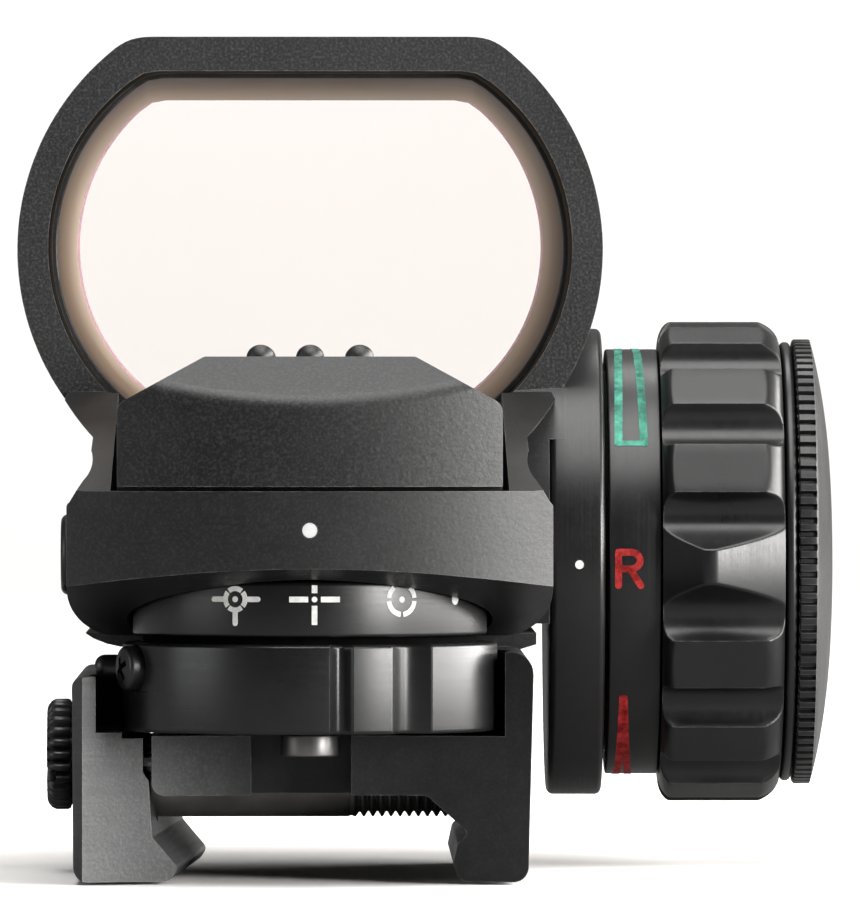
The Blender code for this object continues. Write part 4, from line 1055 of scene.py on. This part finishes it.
stop_screw = rough_out(lathe(rounded([
    (10.8, 0, 0), (10.8, 0.7, 0.1), (12.5, 0.7, 0), (12.5, 1.5, 0.05), (13.6, 1.5, 0.3),
    (13.85, 0, 0)], 6), 56, STOP_AXIS))
combine(stop_screw, [turned(box(13.15, 14.5, -0.2, 0.2, -0.85, 0.85), radians(angle), STOP_AXIS)
                     for angle in (28, 118)])
finish("stop_screw_head", turned(release(stop_screw), SCREW_TURN, DIAL_AXIS),
       "selector", "screw", "stop_screw")
stop_pin = rounded([(10.8, 0, 0), (10.8, 0.82, 0.1), (14.55, 0.82, 0.7), (14.6, 0, 0)], 8)
finish("stop_pin_round", turned(lathe(stop_pin, 40, STOP_AXIS), PIN_TURN, DIAL_AXIS),
       "selector", "screw", "stop_pin", smooth=40)
collar = rounded([(2.6, 0, 0), (2.6, 2.0, 0.15), (4.1, 2.0, 0.15), (4.1, 1.45, 0),
                  (8.6, 1.45, 0.1), (8.6, 0, 0)], 4)
finish("dial_screw_collar", lathe(collar, 64, DIAL_AXIS), "selector", "dark_steel",
       "dial_screw")

# dots let into the rear wall and the rear of the flange
finish("rear_dot", lathe([(REAR_Y, 0), (REAR_Y + 0.04, 0.5), (REAR_Y + 0.6, 0.5),
                          (REAR_Y + 0.6, 0)], 40, REAR_DOT_AXIS),
       "housing", "silver_dot", "rear_index_dot", smooth=50)
flange_rear = KNOB_Y - FLANGE_R
finish("flange_dot", lathe([(flange_rear - 0.03, 0), (flange_rear - 0.02, 0.3),
                            (flange_rear + 0.4, 0.3), (flange_rear + 0.4, 0)],
                           28, FLANGE_DOT_AXIS),
       "housing", "white", "side_index_dot", smooth=50)

# ------------------------------------------------------------------ marked ring
number_ring = rounded([
    (FLANGE_X1 + 0.04, 11.9, 0), (FLANGE_X1 + 0.04, 13.3, 0), (FLANGE_X1 + 0.3, 13.4, 0),
    (FLANGE_X1 + 0.3, NUMBER_R, 0.15), (NUMBER_X1 - 0.05, NUMBER_R, 0.1),
    (NUMBER_X1 - 0.05, 11.9, 0)], 4)
finish("mark_ring", lathe(number_ring, 256, KNOB_AXIS), "knob", "knob", "number_ring")
on_ring = wrap(KNOB_AXIS, NUMBER_R, start=pi)


def ring_place(angle):
    """Degrees above the rear-facing side to a distance around the ring."""
    return -NUMBER_R * radians(angle)


def wedge(wide_angle, tip_angle, wide_xs, tip_xs, width):
    """Outline that narrows around the ring, from a blunt end to its tip."""
    steps = 60
    mark = bmesh.new()
    sides = []
    for wide_x, tip_x in zip(wide_xs, tip_xs):
        side = []
        for i in range(steps + 1):
            t = i / steps
            side.append((ring_place(wide_angle + (tip_angle - wide_angle) * t),
                         wide_x + (tip_x - wide_x) * t))
        stroke(mark, side, width, on_ring, lift=0.035)
        sides.append(side)
    left, right = sides
    stroke(mark, [left[0], right[0]], width * 0.75, on_ring, lift=0.035)
    stroke(mark, [left[-1], right[-1]], width, on_ring, lift=0.035)
    return mark


def letter(strokes, angle, x_middle, width, height):
    """Block letter from strokes in a unit square; it runs along +X and stands upwards."""
    mark = bmesh.new()
    for path in strokes:
        stroke(mark, [(ring_place(angle) - (y - 0.5) * height, x_middle + (x - 0.5) * width)
                      for x, y in path], 0.48, on_ring, lift=0.04)
    return mark


R_BOW = arc(0.55, 0.75, 0.40, radians(90), radians(-90), 14, radius_y=0.25)
R_STROKES = [[(0.0, 0.0), (0.0, 1.0)], [(0.0, 1.0), (0.5, 1.0)] + R_BOW + [(0.0, 0.5)],
             [(0.5, 0.5), (0.98, 0.0)]]
G_STROKES = [arc(0.5, 0.5, 0.5, radians(45), radians(345), 30) + [(0.98, 0.45), (0.55, 0.45)]]
finish("mark_wedge_green", wedge(34.1, 158.0, wide_xs=(21.50, 23.28), tip_xs=(22.05, 22.50),
                                 width=0.56), "knob", "green", smooth=60)
finish("mark_wedge_red", wedge(-150.0, -38.6, wide_xs=(21.25, 23.05), tip_xs=(21.82, 21.92),
                               width=0.50), "knob", "red", smooth=60)
finish("mark_letter_r", letter(R_STROKES, -1.2, x_middle=22.24, width=1.58, height=2.32),
       "knob", "red", smooth=60)
finish("mark_letter_g", letter(G_STROKES, 180.0, x_middle=22.4, width=1.62, height=2.42),
       "knob", "green", smooth=60)

# ------------------------------------------------------------------ fluted knob
SCALLOP_R, SCALLOP_DEPTH = 1.72, 1.45
FLUTE_STEP = 2 * pi / FLUTES
FLUTE_TURN = radians(-0.5)
ROOT_R = KNOB_R - SCALLOP_DEPTH
CREST_R, CREST_X0, CREST_X1, CREST_END_R = 17.42, 27.35, 28.15, 15.62
FLAT_X0, FLAT_X1 = 25.4, 31.6           # the lands are straight between these
HUB_R = 12.0


def land_radius(x):
    """A cylinder with a crisp start to each rounded end."""
    if x < FLAT_X0:
        s = (FLAT_X0 - x) / (FLAT_X0 - KNOB_X0)
        return KNOB_R - 0.25 * s - 1.25 * (1 - sqrt(max(0.0, 1 - s * s)))
    if x > FLAT_X1:
        s = (x - FLAT_X1) / (KNOB_X1 - FLAT_X1)
        return KNOB_R - 0.45 * s - 1.05 * (1 - sqrt(max(0.0, 1 - s * s)))
    return KNOB_R


def crest_radius(x):
    """The pointer land rises to a short crest and falls as a cone on both sides."""
    t = 0.0
    if x < CREST_X0:
        t = (CREST_X0 - x) / (CREST_X0 - KNOB_X0)
    elif x > CREST_X1:
        t = (x - CREST_X1) / (KNOB_X1 - CREST_X1)
    return CREST_R - (CREST_R - CREST_END_R) * t


def soft_min(first, second):
    """Smaller of two radii with a slightly rounded crease."""
    crease = 0.075
    h = max(0.0, min(1.0, 0.5 + 0.5 * (second - first) / crease))
    return second * (1 - h) + first * h - crease * h * (1 - h)


def fluted(angle, x, radius):
    """Land radius less the scallops between the lands; the rearmost land is the pointer."""
    if radius == HUB_R:
        return radius
    turn = (angle - pi + FLUTE_TURN) / FLUTE_STEP
    nearest = round(turn)
    from_land = abs((turn - nearest) * FLUTE_STEP)
    from_scallop = FLUTE_STEP / 2 - from_land
    if nearest % FLUTES == 0:
        rise = max(0.0, degrees(from_scallop)) / 8.1
        return soft_min(crest_radius(x), ROOT_R + (CREST_R - ROOT_R) * rise * rise)
    # the tops of the lands are flat
    radius = soft_min(radius, KNOB_R * cos(radians(6.4)) / cos(min(from_land, radians(9.0))))
    centre = KNOB_R + SCALLOP_R - SCALLOP_DEPTH
    inside = SCALLOP_R ** 2 - (centre * sin(from_scallop)) ** 2
    if inside > 0:
        radius = soft_min(radius, centre * cos(from_scallop) - sqrt(inside))
    return radius


knob_xs = [KNOB_X0 + (FLAT_X0 - KNOB_X0) * (1 - cos(pi / 2 * i / 10)) for i in range(11)]
knob_xs += [FLAT_X0 + (CREST_X0 - FLAT_X0) * i / 9 for i in range(1, 10)]
knob_xs += [CREST_X0 + 0.4, CREST_X1]
knob_xs += [CREST_X1 + (FLAT_X1 - CREST_X1) * i / 14 for i in range(1, 15)]
knob_xs += [FLAT_X1 + (KNOB_X1 - FLAT_X1) * sin(pi / 2 * i / 12) for i in range(1, 13)]
grip = [(KNOB_X0, HUB_R)] + [(x, land_radius(x)) for x in knob_xs] + [(KNOB_X1, HUB_R)]
finish("knob_grip", lathe(grip, FLUTES * 76, KNOB_AXIS, fluted), "knob", "knob", "fluted_knob",
       smooth=62)

web = rough_out(washer(2.9, HUB_R + 0.02, 26.6, 29.5, 96, KNOB_AXIS))
HOLE_REACH = 7.5
hole_angles = [radians(90 + 120 * k) for k in range(3)]
combine(web, [rod(0.95, 26, 30, 24, ("X", KNOB_Y + HOLE_REACH * cos(angle),
                                     KNOB_Z + HOLE_REACH * sin(angle)))
              for angle in hole_angles])
finish("knob_web", release(web), "knob", "knob", edge=0.08)

cap_seat = rounded([
    (KNOB_X1 + 0.12, 12.2, 0), (KNOB_X1 + 0.12, SEAT_R, 0.3), (SEAT_X1 - 0.12, SEAT_R, 0.3),
    (SEAT_X1 - 0.12, 12.2, 0)], 5)
finish("cap_seat_ring", lathe(cap_seat, 256, KNOB_AXIS), "knob", "knob", "seat_disc")

# ------------------------------------------------------------------ battery cap
CAP_TEETH = 104


def cap_knurl(angle, x, radius):
    """Square-cut teeth with narrow gaps around the rim of the cap."""
    if radius < CAP_R - 0.32 or x > CAP_X1 - 0.04:
        return radius
    return radius - (0.34 if angle / (2 * pi) * CAP_TEETH % 1.0 > 0.62 else 0.0)


cap_profile = [
    (34.85, 0), (34.85, 11.7), (33.5, 11.7), (33.5, 11.95), (SEAT_X1 + 0.02, 11.95),
    (SEAT_X1 + 0.02, CAP_R - 0.45), (SEAT_X1 + 0.06, CAP_R - 0.1), (SEAT_X1 + 0.16, CAP_R),
    (CAP_X1 - 0.12, CAP_R), (CAP_X1 - 0.05, CAP_R - 0.02), (CAP_X1 - 0.03, CAP_R - 0.06),
    (CAP_X1 + 0.03, CAP_R - 0.34)]
dome_r = CAP_R - 0.38
dome_x = CAP_X1 + 0.06
for k in range(1, 23):
    radius = dome_r * cos(pi / 2 * k / 22) if k < 22 else 0
    cap_profile.append((dome_x + (CAP_DOME - dome_x) * (1 - (radius / dome_r) ** 2.8), radius))
cap = rough_out(lathe(cap_profile, CAP_TEETH * 8, KNOB_AXIS, cap_knurl))
combine(cap, [turned(box(CAP_DOME - 0.75, CAP_DOME + 2, -6.2, 6.2, -0.7, 0.7), radians(35),
                     KNOB_AXIS)])
finish("cap_knurled", release(cap), "cap", "knob", "battery_cap", smooth=28)

# ------------------------------------------------------------------ rail clamp
SCOOP_R = 42.1


def scoop():
    """Large cylinder that hollows the rear end of the clamp in plan."""
    return rod(SCOOP_R, -8, 12, 360, ("Z", 0.0, BASE_Y0 + 3.2 - SCOOP_R))


# end outline (x, z) of the right side, with its hooked lower edge
base_right = rounded([
    (2.8, 0.0, 0.15), (7.9, 0.0, 0.5), (10.74, -2.5, 0.25), (10.0, -3.2, 0.5), (9.7, -4.6, 0.5),
    (10.1, JAW_LOW, 0.8), (14.75, JAW_LOW, 1.0), (15.15, 9.75, 1.5), (10.75, 9.75, 0),
    (10.75, BASE_TOP, 0), (2.8, BASE_TOP, 0)], 7)
base_left = rounded([(-10.7, 0.0, 0.9), (-10.7, BASE_TOP, 0), (-4.0, BASE_TOP, 0),
                     (-4.0, 0.0, 0)], 8)
# skirt (x, z) that flares out below the housing
skirt = [(-15.5, 10.69), (-14.9, 10.3), (-14.0, 9.95), (-13.1, 9.75), (-10.4, 9.7),
         (13.0, 9.3), (13.8, 9.35), (15.6, 9.9), (15.6, 10.69)]
PAD_REAR = -1.6
base = rough_out(prism(base_right, BASE_Y0, BASE_Y1, "Y"))
combine(base, [box(-4.1, 2.9, BASE_Y0 + 7.9, BASE_Y1, 0.0, BASE_TOP),
               prism(base_left, BASE_Y0, BASE_Y1, "Y"),
               box(-10.4, 10.85, PAD_REAR, BASE_Y1, 3.9, PAD_TOP + 0.25),
               prism(skirt, PAD_REAR, BASE_Y1, "Y")], "UNION")
base_cuts = [
    scoop(),
    # room for the dial and its ring
    rod(13.6, BASE_TOP - 0.05, 9.85, 160, DIAL_AXIS),
    box(-13.0, 13.05, -22, DIAL_Y, BASE_TOP - 0.05, 12),
    rod(RING_R + 0.35, BASE_TOP - 0.05, 12, 128, DIAL_AXIS),
    # cross holes
    rod(2.8, -13, 10.4, 64, ROD_AXIS), rod(1.75, -13, 8.5, 40, CLAMP_AXIS)]
base_cuts += [rod(1.2, -12, -6.5, 24, axis) for axis in GUIDE_AXES]
for y in SCREW_YS:
    base_cuts += [rod(2.5, -1, 3.0, 48, ("Z", 0, y)), rod(1.35, 2, 12, 32, ("Z", 0, y))]
combine(base, base_cuts)
finish("clamp_base", release(base), BODY_OF["mount_base"], "clamp", "mount_base",
       smooth=28, edge=0.16, edge_steps=3, edge_angle=34)

# end outline (x, z) of the jaw on the left
jaw_outline = rounded([
    (JAW_IN, 8.3, 0.3), (JAW_OUT, 8.0, 0.7), (JAW_OUT + 0.1, JAW_LOW, 1.0), (-9.6, JAW_LOW, 0.7),
    (-9.0, -4.9, 0.5), (-10.75, -2.8, 0.3), (-10.9, 1.0, 0.1), (JAW_IN, 1.6, 0.1)], 7)
HOOK_DRIFT = 1.72 / 40.0                # the hooked edge stands further in towards the front


def jaw_section(y):
    section = []
    for x, z in jaw_outline:
        share = min(1.0, max(0.0, (0.6 - z) / 1.6)) * min(1.0, max(0.0, (x + 14.5) / 3.0))
        section.append((x + HOOK_DRIFT * (y - BASE_Y0) * share, y, z))
    return section


jaw = rough_out(loft([jaw_section(BASE_Y0 + (BASE_Y1 - BASE_Y0) * i / 8) for i in range(9)]))
# plan outline (x, y) of a nick in the outer rear corner
corner_nick = [(-16.6, -21), (-15.35, -21), (-15.35, -19.75), (-16.12, -18.3), (-16.6, -18.3)]
combine(jaw, [scoop(), rod(RING_R + 0.4, 3.9, 12, 128, DIAL_AXIS),
              rod(14.95, 4.3, 12, 240, DIAL_AXIS), prism(corner_nick, -8, 12),
              rod(1.75, -18, -8, 40, CLAMP_AXIS)]
        + [rod(0.85, -15.0, -8, 24, axis) for axis in GUIDE_AXES]
        + [rod(2.8, -18, -8, 64, ROD_AXIS)])
finish("sliding_jaw", release(jaw), "jaw", "jaw", "movable_jaw",
       smooth=28, edge=0.16, edge_steps=3, edge_angle=34)

WHEEL_TEETH = 26


def wheel_knurl(angle, x, radius):
    """Straight knurl with rounded crests around the clamp screw's head."""
    if radius < 3.35:
        return radius
    phase = angle / (2 * pi) * WHEEL_TEETH % 1.0
    return radius - 0.36 * (0.5 - 0.5 * cos(2 * pi * phase)) ** 2.2


wheel_profile = [
    (-18.2, 0), (-18.2, 3.2), (-18.12, 3.42), (-17.9, 3.7), (-17.6, 3.85), (-16.75, 3.85),
    (-16.58, 3.75), (-16.45, 3.4), (-16.45, 1.45), (6.8, 1.45), (7.0, 1.2), (7.0, 0)]
wheel = rough_out(lathe(wheel_profile, WHEEL_TEETH * 10, CLAMP_AXIS, wheel_knurl))
combine(wheel, [turned(box(-19, -17.55, -4.5, 4.5, -0.42, 0.42), radians(22), CLAMP_AXIS)])
finish("clamp_screw_head", release(wheel), "clamp_screw", "screw", "clamp_wheel", smooth=32)


def threaded(angle, x, radius):
    """Plain shank on the left, a fine helical thread on the right, a tapered right end."""
    phase = ((x - THREAD_X0) / THREAD_PITCH - angle / (2 * pi)) % 1.0
    height = abs(phase - 0.5) * 2.0
    height = min(1.0, max(0.0, (height - 0.12) / 0.68))     # 0 in the root, 1 on the crest
    fade = min(1.0, max(0.0, (x - THREAD_X0) / 0.9))
    radius -= 0.36 * (1 - height) * fade
    if x > THREAD_X1 - 0.35:
        radius = min(radius, ROD_R - (x - THREAD_X1 + 0.35) * 1.1)
    return radius


rod_profile = [(-15.8, 0.0), (-15.76, 2.1), (-15.6, 2.34), (-15.4, ROD_R)]
x = -15.4
while x < THREAD_X0 - 1e-6:
    x = min(THREAD_X0, x + 1.6)
    rod_profile.append((x, ROD_R))
thread_rows = int((THREAD_X1 - THREAD_X0) / THREAD_PITCH * 12)
rod_profile += [(THREAD_X0 + (THREAD_X1 - THREAD_X0) * i / thread_rows, ROD_R)
                for i in range(1, thread_rows + 1)]
rod_profile.append((THREAD_X1, 0.0))
finish("cross_rod_threaded", lathe(rod_profile, 72, ROD_AXIS, threaded), BODY_OF["cross_rod"],
       "dark_steel", "cross_rod", smooth=40)

# two hexagon-socket screws up through the base
for k, y in enumerate(SCREW_YS):
    screw = rough_out(lathe(rounded([
        (0.7, 0, 0), (0.7, 2.0, 0.2), (2.7, 2.2, 0.1), (2.7, 1.0, 0), (13.6, 1.0, 0.2),
        (13.6, 0, 0)], 4), 48, ("Z", 0, y)))
    hexagon = [(0.95 * cos(radians(60 * i)), y + 0.95 * sin(radians(60 * i))) for i in range(6)]
    combine(screw, [prism(hexagon, -1, 1.9)])
    node = "base_screw_%d" % (k + 1)
    finish("housing_screw_%d" % (k + 1), release(screw), BODY_OF[node], "screw", node)

# ------------------------------------------------------------------ inner pieces, CAD mesh kept
CARRIED = {
    "emitter_carriage": "housing", "pitch_pin": "steel", "emitter_window": "lens",
    "led_board": "board", "led_emitter": "led", "windage_spring": "steel",
    "elevation_spring": "steel", "detent_ball": "steel", "reticle_drum": "polymer",
    "contact_board": "board", "knob_post": "steel", "track_outer": "brass", "wiper": "brass",
    "knob_carrier": "polymer", "knob_screw_1": "screw", "knob_screw_2": "screw",
    "knob_screw_3": "screw", "hub_nut": "steel", "battery_cup": "polymer", "battery": "steel",
    "cap_seal": "rubber", "cap_contact": "brass", "guide_pin_1": "steel",
    "guide_pin_2": "steel", "clamp_washer": "steel",
}
for node, look in CARRIED.items():
    obj = frame["nodes"].get(node)
    if obj is None:
        continue
    obj.data.materials.clear()
    obj.data.materials.append(LOOKS[look])
    for face in obj.data.polygons:
        face.material_index = 0


# ------------------------------------------------------------------ studio (metres)
def studio_paper(name):
    """Grey paper to the camera, pale paper to every other ray, or the reverse by mix order."""
    tree = new_shader(name)
    cloud = tree.noise(scale=3.0, detail=2.0, rough=0.5)
    seen = tree.mottle(cloud, (0.82, 0.805, 0.79), (0.85, 0.835, 0.82))
    unseen = tree.mix(0.5, (0.195,) * 3, (0.215,) * 3)
    path = tree.add("ShaderNodeLightPath")
    return tree.surface(tree.principled(
        tree.mix(path.outputs["Is Camera Ray"], unseen, seen), rough=0.9,
        more={"Specular IOR Level": 0.1}))


studio_paper.__doc__ = "Pale paper as the camera sees it, dim grey to every other ray."

# floor that sweeps up into a backdrop at the front, as (y, z)
STUDIO_Z = JAW_LOW * MM - 0.0002
SWEEP_Y, SWEEP_R = 1.2, 0.9
sweep = [(-1.6, STUDIO_Z), (SWEEP_Y, STUDIO_Z)]
sweep += [(SWEEP_Y + SWEEP_R * sin(pi / 2 * k / 16), STUDIO_Z + SWEEP_R * (1 - cos(pi / 2 * k / 16)))
          for k in range(1, 17)]
sweep.append((2.1, 3.2))
sheet = bmesh.new()
left, right = add_rows(sheet, [[(x, y, z) for y, z in sweep] for x in (-3.0, 3.0)])
for i in range(len(sweep) - 1):
    sheet.faces.new((left[i], right[i], right[i + 1], left[i + 1]))
floor_mesh = bpy.data.meshes.new("studio_sweep")
sheet.to_mesh(floor_mesh)
sheet.free()
floor_mesh.materials.append(studio_paper("studio_paper"))
floor = bpy.data.objects.new("studio_sweep", floor_mesh)
bpy.context.scene.collection.objects.link(floor)
for face in floor_mesh.polygons:
    face.use_smooth = True


def add_aimed(name, data, where, target):
    """Put a light or camera in the scene, pointing at a target."""
    obj = bpy.data.objects.new(name, data)
    bpy.context.scene.collection.objects.link(obj)
    obj.location = where
    aim = Vector(target) - Vector(where)
    obj.rotation_euler = aim.to_track_quat("-Z", "Y").to_euler()
    return obj


def lamp(name, where, size, power, color, target=(0.006, 0.0, 0.022)):
    """Rectangular area light; size is (width, height), power in watts."""
    data = bpy.data.lights.new(name, "AREA")
    data.energy = power
    data.shape = "RECTANGLE"
    data.size, data.size_y = size
    data.color = color
    return add_aimed(name, data, where, target)


lights = [
    lamp("softbox_key", (0.68, -0.61, 0.12), size=(0.30, 0.5), power=16.0,
         color=(1.0, 0.99, 0.975)),
    lamp("softbox_right", (0.86, 0.14, 0.16), size=(1.20, 0.7), power=42.0,
         color=(1.0, 0.985, 0.965)),
    lamp("softbox_left", (-0.80, -0.25, 0.12), size=(0.50, 0.50), power=1.8,
         color=(0.96, 0.98, 1.0)),
    lamp("softbox_top", (0.05, -0.34, 1.08), size=(0.95, 0.95), power=17.0,
         color=(1.0, 0.99, 0.98)),
    lamp("backdrop_light", (0.0, 1.2, 1.8), size=(1.2, 1.2), power=24.0,
         color=(1.0, 0.99, 0.98), target=(0.0, 1.9, 0.3)),
]

# world: dark to the rear, pale to the front
world = bpy.data.worlds.new("studio_world")
bpy.context.scene.world = world
sky = Shader(world, "ShaderNodeOutputWorld")
forward = sky.remap(sky.part("Y", sky.places["Generated"]), low=0.0, high=1.0,
                    source=(-1.0, 1.0))
sky_color = sky.ramp(forward, [(0.0, (0.10, 0.10, 0.10)), (1.0, (0.95, 0.94, 0.92))])
sky.surface(sky.add("ShaderNodeBackground", {"Color": sky_color, "Strength": 0.35}))

# long lens, from behind
camera_data = bpy.data.cameras.new("camera")
camera_data.lens = 493.04
camera_data.sensor_width = 36.0
camera_data.clip_start = 0.05
camera_data.clip_end = 20.0
camera = add_aimed("camera", camera_data, where=(0.55 * MM, -870 * MM, 28.2 * MM),
                   target=(8.35 * MM, 0.0, 22.6 * MM))
bpy.context.scene.camera = camera
bpy.context.scene.view_settings.view_transform = "Standard"

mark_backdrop(floor, camera, *lights)
full_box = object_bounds()


def plain(bounds):
    """Bounds as plain nested lists of numbers."""
    if isinstance(bounds, dict):
        return {key: plain(value) for key, value in bounds.items()}
    if isinstance(bounds, (int, float)):
        return float(bounds)
    return [plain(value) for value in bounds]


{"cad_box": plain(cad_box), "visual_box": plain(full_box)}
